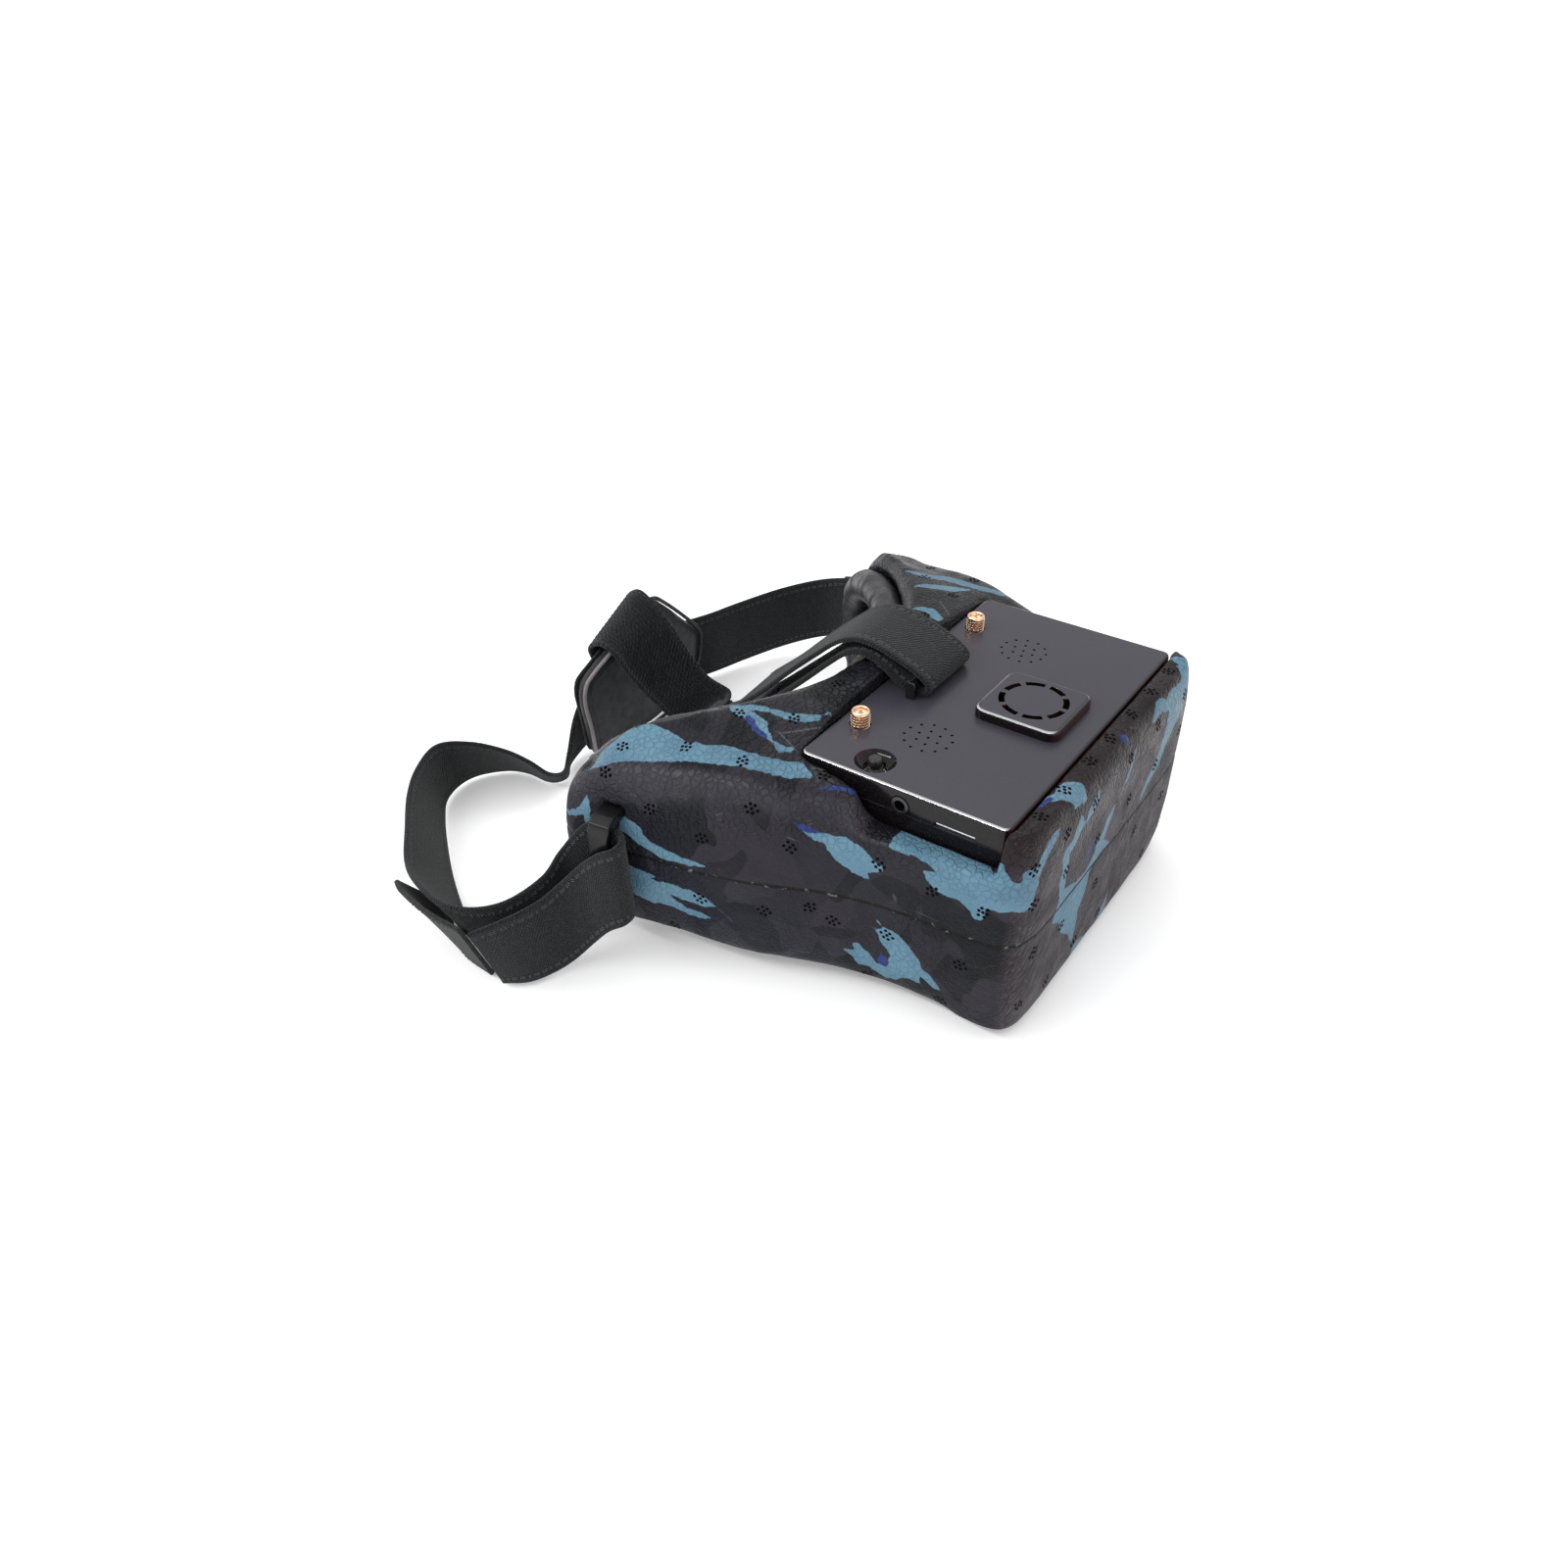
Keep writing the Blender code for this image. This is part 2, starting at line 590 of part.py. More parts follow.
# eight curved fan slots
slots = []
for k in range(8):
    a0 = math.radians(45 * k + 5.0)
    a1 = math.radians(45 * k + 40.0)
    arc = [a0 + (a1 - a0) * i / 4 for i in range(5)]
    ring = [(11.2 * math.cos(a), FAN_Y + 11.2 * math.sin(a)) for a in arc]
    ring += [(9.2 * math.cos(a), FAN_Y + 9.2 * math.sin(a)) for a in reversed(arc)]
    slots.append(skin("t", [[(x, y, z) for x, y in ring] for z in (79.0, 85.0)]))
cut(cover, *slots)
tidy(cover)

fan = slab("fan_frame", FAN_SIZE, FAN_SIZE, 1.6, [(73.2, 0), (80.2, 0)], 0, FAN_Y, seg=2)
cut(fan, turned("t", [(11.7, 70.0), (11.7, 85.0)], 28, 0, FAN_Y))
join(fan, turned("t", [(0, 73.2), (4.6, 73.2), (4.6, 74.1), (0, 74.1)], 20, 0, FAN_Y))
for k in range(3):
    a = math.radians(90 + 120 * k)
    c, s = math.cos(a), math.sin(a)
    ring = [(r * c - w * s, FAN_Y + r * s + w * c)
            for r, w in ((3.5, -0.7), (12.0, -0.7), (12.0, 0.7), (3.5, 0.7))]
    join(fan, skin("t", [[(x, y, z) for x, y in ring] for z in (73.25, 74.05)]))
tidy(fan)

rotor = turned("fan_rotor", [(0, 74.5), (5.2, 74.5), (5.2, 79.2), (4.7, 79.7), (0, 79.7)], 21, 0, FAN_Y)
for k in range(7):
    a = 2 * math.pi * k / 7
    rings = []
    for r, z, w, twist in ((4.6, FAN_MID_Z, 2.1, 0.62), (8.0, FAN_MID_Z, 2.3, 0.5),
                           (11.0, FAN_MID_Z, 2.4, 0.4)):
        ring = []
        for u, t in ((-w, -0.35), (w, -0.35), (w, 0.35), (-w, 0.35)):
            across = u * math.cos(twist) - t * math.sin(twist)
            up = u * math.sin(twist) + t * math.cos(twist)
            ring.append((r * math.cos(a) - across * math.sin(a),
                         FAN_Y + r * math.sin(a) + across * math.cos(a), z + up))
        rings.append(ring)
    join(rotor, skin("t", rings))
tidy(rotor)

for side, tag in ((1, "right"), (-1, "left")):
    x = side * SMA_X
    thread = []
    z = 78.8
    while z < 82.2:
        thread += [(3.175, z), (3.175, z + 0.28), (2.82, z + 0.48), (2.82, z + 0.58)]
        z += 0.78
    turned("sma_connector_" + tag,
           [(0, SEAT_Z), (3.9, SEAT_Z), (3.9, 72.2), (3.05, 72.2), (3.05, 78.7)] + thread
           + [(3.1, 82.9), (2.75, 83.5), (2.3, 83.6), (2.15, 83.0), (2.15, 82.3),
              (0.65, 82.3), (0.6, 83.1), (0, 83.2)],
           20, x, SMA_Y)
    turned("sma_nut_" + tag, [(4.6, 74.1), (4.6, 76.1), (3.75, 76.1), (3.75, 74.1)], 6, x, SMA_Y, loop=True)
    turned("speaker_" + tag,
           [(0, 72.8), (4.5, 72.8), (8.0, 74.0), (8.2, 74.2), (8.2, 76.1), (7.3, 76.1), (6.6, 75.3),
            (2.6, 74.6), (0, 75.3)], 20, side * SPEAKER_X, SPEAKER_Y)
    x0, x1 = sorted((side * 4.5, side * 31.0))
    box("receiver_module_" + tag, x0, x1, -30.0, -16.5, SEAT_Z, 72.0)

slab("battery_pack", 29.0, 27.0, 1.6, [(69.4, 0.8), (70.2, 0), (74.4, 0), (75.2, 0.8)], -30.5, 17.0, seg=2)

jack = box("av_jack", 46.0, 58.7, JACK_Y - 3.2, JACK_Y + 3.2, SEAT_Z, 75.9)
join(jack, cylinder_x("t", 57.0, 61.4, JACK_Y, JACK_Z, 3.0))
cut(jack, cylinder_x("t", 47.5, 65.0, JACK_Y, JACK_Z, 1.8, 14))
tidy(jack)
card = box("card_socket", 45.0, 58.8, CARD_Y0 - 0.6, CARD_Y1 + 0.6, SEAT_Z, 71.6)
cut(card, box("t", 46.5, 65.0, CARD_Y0 + 1.0, CARD_Y1 - 1.0, 69.75, 71.15))
tidy(card)

# five-way joystick: base, two nested tilting rings, sprung cap
PIVOT_Z = 72.7
PIN_R = 0.3
base = slab("joystick_base", 8.4, 8.4, 0.6, [(SEAT_Z, 0), (74.1, 0)], STICK_X, STICK_Y, seg=2)
cut(base, turned("t", [(3.3, 70.2), (3.3, 80.0)], 20, STICK_X, STICK_Y))
tidy(base)


def pivot_ring(name, r_out, r_in, half, pin_reach, axis):
    ring = turned(name, [(r_out, PIVOT_Z - half), (r_out, PIVOT_Z + half), (r_in, PIVOT_Z + half),
                         (r_in, PIVOT_Z - half)], 20, STICK_X, STICK_Y, loop=True)
    for s in (1, -1):
        a, b = sorted((s * (r_out - PIN_R), s * pin_reach))
        if axis == "x":
            pin = box("t", STICK_X + a, STICK_X + b, STICK_Y - PIN_R, STICK_Y + PIN_R,
                      PIVOT_Z - PIN_R, PIVOT_Z + PIN_R)
        else:
            pin = box("t", STICK_X - PIN_R, STICK_X + PIN_R, STICK_Y + a, STICK_Y + b,
                      PIVOT_Z - PIN_R, PIVOT_Z + PIN_R)
        join(ring, pin)
    return tidy(ring)


pivot_ring("joystick_rocker", 2.75, 2.05, 0.55, 3.1, "x")
pivot_ring("joystick_gimbal", 1.6, 0.95, 0.55, 1.9, "y")
turned("joystick_cap",
       [(0, 71.3), (0.6, 71.4), (0.6, 75.3), (2.6, 75.3), (2.6, 75.9), (1.5, 76.3), (1.5, 76.9), (2.35, 77.1),
        (2.35, 79.0), (1.9, 79.7), (0, 79.7)], 8, STICK_X, STICK_Y, phase=math.pi / 8)

# --------------------------------------------------------------------------
# Top strap, its clip, side straps and rear pad
# --------------------------------------------------------------------------
clip = skin("top_strap_clip",
            [[(x, CLIP_Y + 1.9 * math.cos(a), 82.7 + 1.9 * math.sin(a))
              for a in [2 * math.pi * k / 14 for k in range(14)]]
             for x in (-16.8, 16.8)])
for s in (1, -1):
    x0, x1 = sorted((s * 14.8, s * 16.8))
    join(clip, box("t", x0, x1, CLIP_Y - 1.6, CLIP_Y + 1.6, 78.8, 82.8))
tidy(clip)


TOP = [
    # loose end of the upper layer, forward over the bridge, round the clip bar,
    # and back underneath to the joint with the ribbed band
    (-96.0, 47.2), (-84.0, 58.0), (-72.0, 70.3), (-61.5, 80.4), (-53.0, 88.0), (-45.5, 91.4), (-37.5, 91.2),
    (-29.5, 89.0), (-23.0, 86.6), (-18.6, 83.6), (-18.4, 80.8), (-20.5, 79.7), (-25.0, 79.8), (-30.0, 81.6),
    (-35.5, 85.0), (-42.0, 87.0), (-49.0, 85.2), (-56.5, 78.6), (-66.5, 68.4), (-79.0, 56.4), (-92.0, 44.4),
    (-104.0, 34.6), (-115.0, 27.0), (-122.0, 24.0)]
LIFT = [2.4, 2.4, 2.4, 2.2, 1.6, 0.6] + [0.0] * 10 + [0.6, 1.6, 2.2, 2.4, 2.4, 2.4, 2.0, 1.6]
ribbon("top_strap", [((-TOP_STRAP_W / 2, y, z + d), (TOP_STRAP_W / 2, y, z))
                     for (y, z), d in zip(TOP, LIFT)], sub=2)

ribbon("rear_band", [
    ((-15.0, -124.2, 24.0), (13.0, -124.2, 22.6)),
    ((-25.0, -128.4, 19.4), (3.0, -131.0, 16.6)),
    ((-32.7, -133.2, 19.0), (-6.3, -140.0, 12.5)),
    ((-28.3, -141.3, 25.5), (-0.8, -146.0, 23.1)),
    ((-23.6, -145.9, 36.3), (3.4, -150.4, 31.2)),
    ((-17.4, -149.4, 50.6), (8.6, -153.6, 41.2)),
    ((-15.2, -156.4, 60.0), (11.4, -155.6, 48.4)),
    ((-15.2, -163.4, 63.4), (11.8, -162.6, 50.8)),
    ((-16.0, -170.0, 59.0), (10.4, -169.6, 46.0)),
    ((-18.0, -171.4, 51.0), (7.0, -170.4, 37.5)),
    ((-21.5, -171.4, 43.0), (3.5, -170.4, 29.5))], sub=3)

PAD = [(27.7, 34.0), (26.3, 41.0), (21.0, 44.6), (4.0, 50.6), (-12.0, 58.6), (-18.8, 59.6), (-25.0, 55.5),
       (-38.0, 43.5), (-49.0, 32.0), (-50.4, 26.0), (-47.5, 16.0), (-40.0, 6.6), (-30.0, 2.8), (-8.0, 2.4),
       (12.0, 2.4), (20.0, 3.6), (23.8, 8.6), (25.6, 22.0)]


def pad_plate(name, y0, y1, edge, inset=0.0, yaw=0.06):
    """Cushioned plate standing across Y, its rim rounded by 'edge'."""
    loop = smooth_loop(PAD, 2)
    n = len(loop)
    cx = sum(p[0] for p in loop) / n
    cz = sum(p[1] for p in loop) / n
    rings = []
    for y, grow in ((y0, -edge), (y0 + edge, 0.0), (y1 - edge, 0.0), (y1, -edge)):
        row = []
        for i, (x, z) in enumerate(loop):
            tx = loop[(i + 1) % n][0] - loop[i - 1][0]
            tz = loop[(i + 1) % n][1] - loop[i - 1][1]
            length = math.hypot(tx, tz)
            g = grow - inset
            px, pz = x + tz / length * g, z - tx / length * g
            row.append((px, y + yaw * (px - cx), pz))
        rings.append(row)
    return skin(name, rings)


pad_plate("rear_pad", -165.2, -159.2, 1.6)
pad_plate("rear_pad_backing", -167.1, -165.6, 0.4, inset=2.0)

NEAR = [
    # behind the pad, round its edge and gathered, then out over the table,
    # the widest bend, and back to the loop
    ((12.0, -171.2, 5.0), (12.0, -170.8, 31.0)),
    ((21.0, -171.0, 2.2), (21.0, -170.6, 20.0)),
    ((29.0, -168.6, 1.4), (29.0, -168.0, 8.0)),
    ((35.6, -164.0, 1.2), (37.6, -163.0, 6.2)),
    ((40.6, -168.0, 1.2), (48.0, -160.2, 12.0)),
    ((41.0, -178.5, 1.2), (54.8, -163.0, 20.4)),
    ((44.4, -186.9, 1.2), (57.8, -172.1, 23.5)),
    ((53.4, -194.0, 1.2), (64.6, -182.8, 26.7)),
    ((62.8, -195.4, 1.2), (74.5, -190.1, 28.3)),
    ((73.6, -191.6, 1.2), (87.6, -186.6, 26.8)),
    ((82.8, -182.8, 1.2), (99.6, -178.2, 25.4)),
    ((94.0, -169.3, 1.2), (112.4, -165.0, 24.6)),
    ((105.6, -153.6, 1.2), (124.6, -151.6, 24.0)),
    ((116.6, -136.0, 1.2), (132.0, -138.0, 26.4)),
    ((124.6, -120.6, 1.2), (136.0, -121.8, 28.6)),
    ((126.4, -109.0, 1.4), (133.6, -109.4, 30.2)),
    ((121.9, -101.4, 2.0), (125.4, -101.6, 31.6)),
    ((112.0, -96.8, 4.6), (112.8, -98.2, 34.4)),
    ((105.0, -93.4, 10.2), (105.4, -97.2, 40.2)),
    ((101.2, -88.4, 19.6), (101.4, -91.4, 49.6)),
    ((99.4, -84.4, 23.2), (99.4, -86.6, 53.2)),
    ((98.8, -78.6, 23.4), (98.8, -80.6, 53.4)),
    ((99.2, -73.4, 23.2), (99.2, -75.6, 53.2)),
    ((101.6, -71.2, 22.6), (101.6, -73.4, 52.6)),
    ((105.2, -71.8, 21.4), (105.2, -74.0, 51.4)),
    ((107.6, -76.2, 18.4), (107.6, -79.4, 48.3)),
    ((109.8, -81.4, 12.2), (109.8, -85.6, 42.0)),
    ((113.8, -86.8, 5.4), (114.0, -90.6, 35.2)),
    ((119.6, -91.2, 1.8), (120.6, -93.4, 31.6)),
    ((127.0, -95.0, 1.4), (130.8, -96.2, 31.0)),
    ((132.2, -101.8, 1.2), (141.8, -102.6, 29.0)),
]
ribbon("side_strap_right", NEAR, sub=3)
ribbon("strap_hook_patch_right", [
    ((131.4, -107.2, 1.2), (141.6, -107.0, 28.6)),
    ((129.6, -121.4, 1.2), (141.0, -122.6, 27.6)),
    ((121.4, -137.4, 1.2), (137.0, -139.4, 25.2)),
    ((116.6, -145.8, 1.2), (134.0, -145.8, 24.2))], sub=3)

FAR = [
    ((-22.0, -173.0, 6.0), (-22.0, -173.0, 34.0)),
    ((-40.0, -173.0, 4.0), (-39.6, -173.0, 33.6)),
    ((-52.0, -170.6, 2.0), (-51.0, -170.4, 32.0)),
    ((-64.0, -165.8, 2.0), (-62.6, -165.8, 32.0)),
    ((-80.0, -160.4, 2.6), (-78.6, -160.4, 32.6)),
    ((-97.0, -151.6, 4.6), (-95.8, -151.2, 34.6)),
    ((-107.6, -140.0, 8.0), (-106.6, -138.6, 38.0)),
    ((-109.4, -127.0, 12.4), (-108.0, -125.4, 42.2)),
    ((-106.0, -114.0, 16.4), (-105.0, -113.0, 46.2)),
    ((-101.6, -101.6, 20.0), (-101.4, -102.0, 50.0)),
    ((-100.4, -91.0, 22.2), (-100.4, -92.6, 52.2)),
    ((-99.6, -84.0, 23.2), (-99.6, -86.0, 53.2)),
    ((-98.9, -78.0, 23.2), (-98.9, -80.0, 53.2)),
    ((-99.4, -73.6, 23.1), (-99.4, -75.0, 53.1)),
    ((-101.8, -72.0, 22.9), (-101.8, -73.4, 52.9)),
    ((-105.4, -72.8, 22.5), (-105.4, -74.4, 52.5)),
    ((-107.6, -79.4, 21.4), (-107.6, -81.4, 51.4)),
    ((-107.6, -90.4, 19.6), (-107.6, -92.0, 49.6)),
    ((-108.6, -101.6, 17.4), (-108.4, -102.0, 47.4)),
    ((-111.4, -115.0, 14.2), (-110.6, -114.4, 44.2)),
    ((-113.2, -129.0, 10.6), (-112.2, -127.8, 40.6)),
]
ribbon("side_strap_left", FAR, sub=3)

# --------------------------------------------------------------------------
# Materials and the moving pieces' origins
# --------------------------------------------------------------------------
# name: base colour, roughness, metallic
FINISHES = {
    "printed_foam": ((0.036, 0.034, 0.042), 0.62, 0.0),
    "leatherette": ((0.028, 0.028, 0.031), 0.48, 0.0),
    "webbing": ((0.016, 0.016, 0.018), 0.9, 0.0),
    "satin_black": ((0.03, 0.03, 0.034), 0.34, 0.0),
    "gloss_black": ((0.016, 0.016, 0.018), 0.15, 0.0),
    "gold": ((0.95, 0.7, 0.34), 0.18, 1.0),
    "steel": ((0.62, 0.62, 0.64), 0.3, 1.0),
    "mirror": ((0.92, 0.92, 0.93), 0.03, 1.0),
    "clear": ((0.9, 0.93, 0.95), 0.05, 0.0),
    "circuit": ((0.02, 0.12, 0.05), 0.5, 0.0),
    "sleeve": ((0.08, 0.1, 0.22), 0.45, 0.0),
}
FINISH_OF = {
    "foam_shell": "printed_foam", "strap_loop": "gloss_black", "face_cushion": "leatherette",
    "mirror_bracket": "satin_black", "mirror_glass": "mirror", "lens_frame": "satin_black",
    "fresnel_lens": "clear", "module": "satin_black", "screen_window": "clear", "lcd_panel": "gloss_black",
    "main_board": "circuit", "board_screw": "steel", "fan": "satin_black", "sma": "gold", "speaker": "steel",
    "receiver_module": "steel", "battery_pack": "sleeve", "av_jack": "satin_black", "card_socket": "steel",
    "joystick_base": "steel", "joystick_rocker": "steel", "joystick_gimbal": "steel",
    "joystick_cap": "gloss_black", "top_strap_clip": "gloss_black", "top_strap": "webbing",
    "rear_band": "webbing", "rear_pad": "leatherette", "side_strap": "webbing", "strap_hook": "webbing",
}
finishes = {}
for name, (colour, rough, metal) in FINISHES.items():
    finish = bpy.data.materials.new(name)
    finish.use_nodes = True
    shader = finish.node_tree.nodes["Principled BSDF"]
    shader.inputs["Base Color"].default_value = (*colour, 1.0)
    shader.inputs["Roughness"].default_value = rough
    shader.inputs["Metallic"].default_value = metal
    finishes[name] = finish
for ob in bpy.data.objects:
    start = max((key for key in FINISH_OF if ob.name.startswith(key)), key=len)
    ob.data.materials.clear()
    ob.data.materials.append(finishes[FINISH_OF[start]])


def set_origin(name, x, y, z):
    """Put a moving piece's origin on its joint's axis."""
    ob = bpy.data.objects[name]
    at = Vector((x, y, z)) * MM
    ob.data.transform(Matrix.Translation(-at))
    ob.location = at


set_origin("fan_rotor", 0, FAN_Y, FAN_MID_Z)
for name in ("joystick_rocker", "joystick_gimbal", "joystick_cap"):
    set_origin(name, STICK_X, STICK_Y, PIVOT_Z)
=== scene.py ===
"""FPV goggles: printed foam headset, screen module, straps and rear pad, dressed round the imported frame."""
import json
import math
from contextlib import contextmanager
import bmesh
import bpy
import numpy as np
from mathutils import Matrix, Vector, noise
from mathutils.bvhtree import BVHTree
from mathutils.kdtree import KDTree

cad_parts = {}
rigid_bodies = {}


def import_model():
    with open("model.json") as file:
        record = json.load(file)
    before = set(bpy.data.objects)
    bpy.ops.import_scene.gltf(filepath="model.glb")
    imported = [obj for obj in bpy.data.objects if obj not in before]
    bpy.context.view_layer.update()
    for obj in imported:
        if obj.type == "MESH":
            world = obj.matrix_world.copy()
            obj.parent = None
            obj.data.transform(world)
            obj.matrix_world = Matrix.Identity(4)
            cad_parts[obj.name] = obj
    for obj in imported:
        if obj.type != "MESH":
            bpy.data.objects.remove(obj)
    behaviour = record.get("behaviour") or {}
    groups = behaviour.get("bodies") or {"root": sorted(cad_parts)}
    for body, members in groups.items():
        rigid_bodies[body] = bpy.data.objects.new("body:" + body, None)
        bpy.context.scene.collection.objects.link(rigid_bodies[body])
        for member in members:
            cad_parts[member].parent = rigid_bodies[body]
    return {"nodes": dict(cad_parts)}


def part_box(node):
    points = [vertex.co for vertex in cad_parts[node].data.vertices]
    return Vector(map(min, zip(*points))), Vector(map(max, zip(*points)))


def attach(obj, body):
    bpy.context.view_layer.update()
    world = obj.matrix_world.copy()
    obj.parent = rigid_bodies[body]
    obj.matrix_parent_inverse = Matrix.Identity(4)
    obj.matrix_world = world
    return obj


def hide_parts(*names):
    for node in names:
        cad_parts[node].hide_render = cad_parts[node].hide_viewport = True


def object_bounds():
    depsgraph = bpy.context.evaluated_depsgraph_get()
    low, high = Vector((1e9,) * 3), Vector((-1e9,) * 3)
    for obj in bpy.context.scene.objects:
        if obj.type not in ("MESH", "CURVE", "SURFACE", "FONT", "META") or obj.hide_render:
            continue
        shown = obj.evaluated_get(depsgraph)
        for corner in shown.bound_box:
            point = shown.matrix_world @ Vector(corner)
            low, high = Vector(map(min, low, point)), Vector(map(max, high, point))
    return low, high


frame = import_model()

MM = 0.001
ROOT = "headset"
NODES = frame["nodes"]
CAD_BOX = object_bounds()
SCENE = bpy.context.scene
SEAM_Z = 41.5            # parting seam of the foam body, mm


# --------------------------------------------------------------------------
# Materials
# --------------------------------------------------------------------------
class Look:
    """A Principled material, with short calls for the nodes that feed it."""

    def __init__(self, name, colour, rough, metal=0.0, **sockets):
        self.mat = bpy.data.materials.new(name)
        self.mat.use_nodes = True
        self.tree = self.mat.node_tree
        self.shader = self.tree.nodes["Principled BSDF"]
        self.set(Base_Color=(*colour, 1.0), Roughness=rough, Metallic=metal, **sockets)
        self.normal = None

    def feed(self, socket, value):
        if isinstance(value, bpy.types.NodeSocket):
            self.tree.links.new(value, socket)
        else:
            socket.default_value = value

    def set(self, **sockets):
        for key, value in sockets.items():
            self.feed(self.shader.inputs[key.replace("_", " ")], value)
        return self

    def node(self, kind, props=None, **inputs):
        made = self.tree.nodes.new("ShaderNode" + kind)
        for key, value in (props or {}).items():
            setattr(made, key, value)
        for key, value in inputs.items():
            index = int(key[1:]) if key[0] == "i" and key[1:].isdigit() else key.replace("_", " ")
            self.feed(made.inputs[index], value)
        return made

    def where(self, kind="Object", stretch=None):
        place = self.node("TexCoord").outputs[kind]
        if stretch:
            place = self.node("Mapping", Vector=place, Scale=stretch).outputs[0]
        return place

    def streaks(self, along, turn):
        """Object coordinates drawn out 'along' times in the direction given by 'turn'."""
        return self.node("Mapping", {"vector_type": "TEXTURE"}, Vector=self.where(), Scale=(along, 1, 1),
                         Rotation=turn).outputs[0]

    def math(self, operation, a, b=0.0):
        return self.node("Math", {"operation": operation}, i0=a, i1=b).outputs[0]

    def times(self, a, b):
        return self.math("MULTIPLY", a, b)

    def plus(self, a, b):
        return self.math("ADD", a, b)

    def parts(self, kind, source):
        """The separate channels of a vector or a colour."""
        return self.node("Separate" + kind, **{"Vector" if kind == "XYZ" else "Color": source}).outputs

    def facing(self):
        """Which way the surface looks, as x, y and z."""
        return self.parts("XYZ", self.node("NewGeometry").outputs["Normal"])

    def moved(self, place, by, reach):
        """Coordinates pushed about by a colour, up to about 'reach' metres."""
        return self.node("VectorMath", {"operation": "MULTIPLY_ADD"}, i0=by, i1=(reach, reach, reach),
                         i2=place).outputs[0]

    def span(self, x, low, high, to_low=0.0, to_high=1.0):
        """x from low..high to to_low..to_high, smoothly and clamped."""
        return self.node("MapRange", {"interpolation_type": "SMOOTHSTEP"}, Value=x, From_Min=low,
                         From_Max=high, To_Min=to_low, To_Max=to_high).outputs[0]

    def mix(self, part, a, b):
        made = self.node("Mix", {"data_type": "RGBA"}, i0=part)
        for index, value in ((6, a), (7, b)):
            self.feed(made.inputs[index], value if isinstance(value, bpy.types.NodeSocket) else (*value, 1.0))
        return made.outputs[2]

    def noise(self, place, scale, detail=2.0, distortion=0.0):
        return self.node("TexNoise", Vector=place, Scale=scale, Detail=detail,
                         Distortion=distortion).outputs[0]

    def cells(self, place, scale, feature="F1", out="Distance", metric="EUCLIDEAN"):
        props = {"feature": feature}
        if feature == "F1":
            props["distance"] = metric
        return self.node("TexVoronoi", props, Vector=place, Scale=scale).outputs[out]

    def attribute(self, name):
        return self.node("Attribute", {"attribute_name": name}).outputs["Fac"]

    def bump(self, height, depth):
        """Relief 'depth' metres high; each call adds to the last."""
        made = self.node("Bump", Height=height, Distance=depth, Strength=1.0)
        if self.normal:
            self.feed(made.inputs["Normal"], self.normal)
        self.normal = made.outputs[0]
        self.feed(self.shader.inputs["Normal"], self.normal)
        return self


def foam_ground(look, place, wander):
    """Mottled dark ground: large dark and violet fields with small dark chips."""
    bent = look.moved(place, wander, 0.016)
    tone = look.parts("Color", look.cells(bent, 34.0, out="Color", metric="MANHATTAN"))
    base = look.mix(look.span(tone[0], 0.3, 0.42), (0.003, 0.0036, 0.0062), (0.0125, 0.0125, 0.018))
    base = look.mix(look.span(tone[1], 0.62, 0.7), base, (0.019, 0.0172, 0.0235))
    small = look.parts("Color", look.cells(bent, 88.0, out="Color"))
    base = look.mix(look.span(small[2], 0.7, 0.74, 0.0, 0.75), base, (0.003, 0.0035, 0.006))
    violet = look.noise(place, 16.0, 2.0)
    return look.mix(look.span(violet, 0.55, 0.75, 0.0, 0.35), base, (0.012, 0.0135, 0.03))


def foam_wear(look, place, height, base):
    """Painted highlight on the rounded shoulders, brushed front wall, warm tone round the plate and thin
    scratches.
    """
    grain = look.noise(look.streaks(9.0, (0, math.radians(48), 0)), 1300.0, 4.0, 0.15)
    forward, upward = look.facing()[1:]
    rounded = look.times(look.span(upward, 0.2, 0.45), look.span(upward, 0.9, 0.7))
    # painted highlight: the rounded shoulders are made paler in patches, where the key light would catch them
    shoulder_highlight = look.times(rounded, look.span(look.noise(place, 38.0, 3.0), 0.35, 0.65, 0.15, 0.75))
    base = look.mix(shoulder_highlight, base, (0.042, 0.041, 0.049))
    front = look.times(look.span(forward, 0.45, 0.85), look.span(height, 0.073, 0.066))
    base = look.mix(look.times(front, 0.55), base, (0.036, 0.026, 0.034))
    base = look.mix(look.times(look.span(grain, 0.5, 0.7), front), base, (0.07, 0.053, 0.069))
    base = look.mix(look.times(look.span(grain, 0.44, 0.36), front), base, (0.01, 0.007, 0.009))
    ahead = look.parts("XYZ", place)[1]
    lip = look.times(look.span(ahead, 0.034, 0.037), look.span(height, 0.066, 0.072))
    base = look.mix(look.times(lip, 0.7), base, (0.014, 0.0065, 0.0065))
    scratch = look.cells(look.where(stretch=(1, 0.35, 1)), 60.0, "DISTANCE_TO_EDGE")
    thin = look.times(look.span(scratch, 0.0, 0.02, 1.0, 0.0), look.span(look.noise(place, 70.0), 0.56, 0.66))
    return look.mix(look.times(thin, 0.5), base, (0.12, 0.12, 0.125))


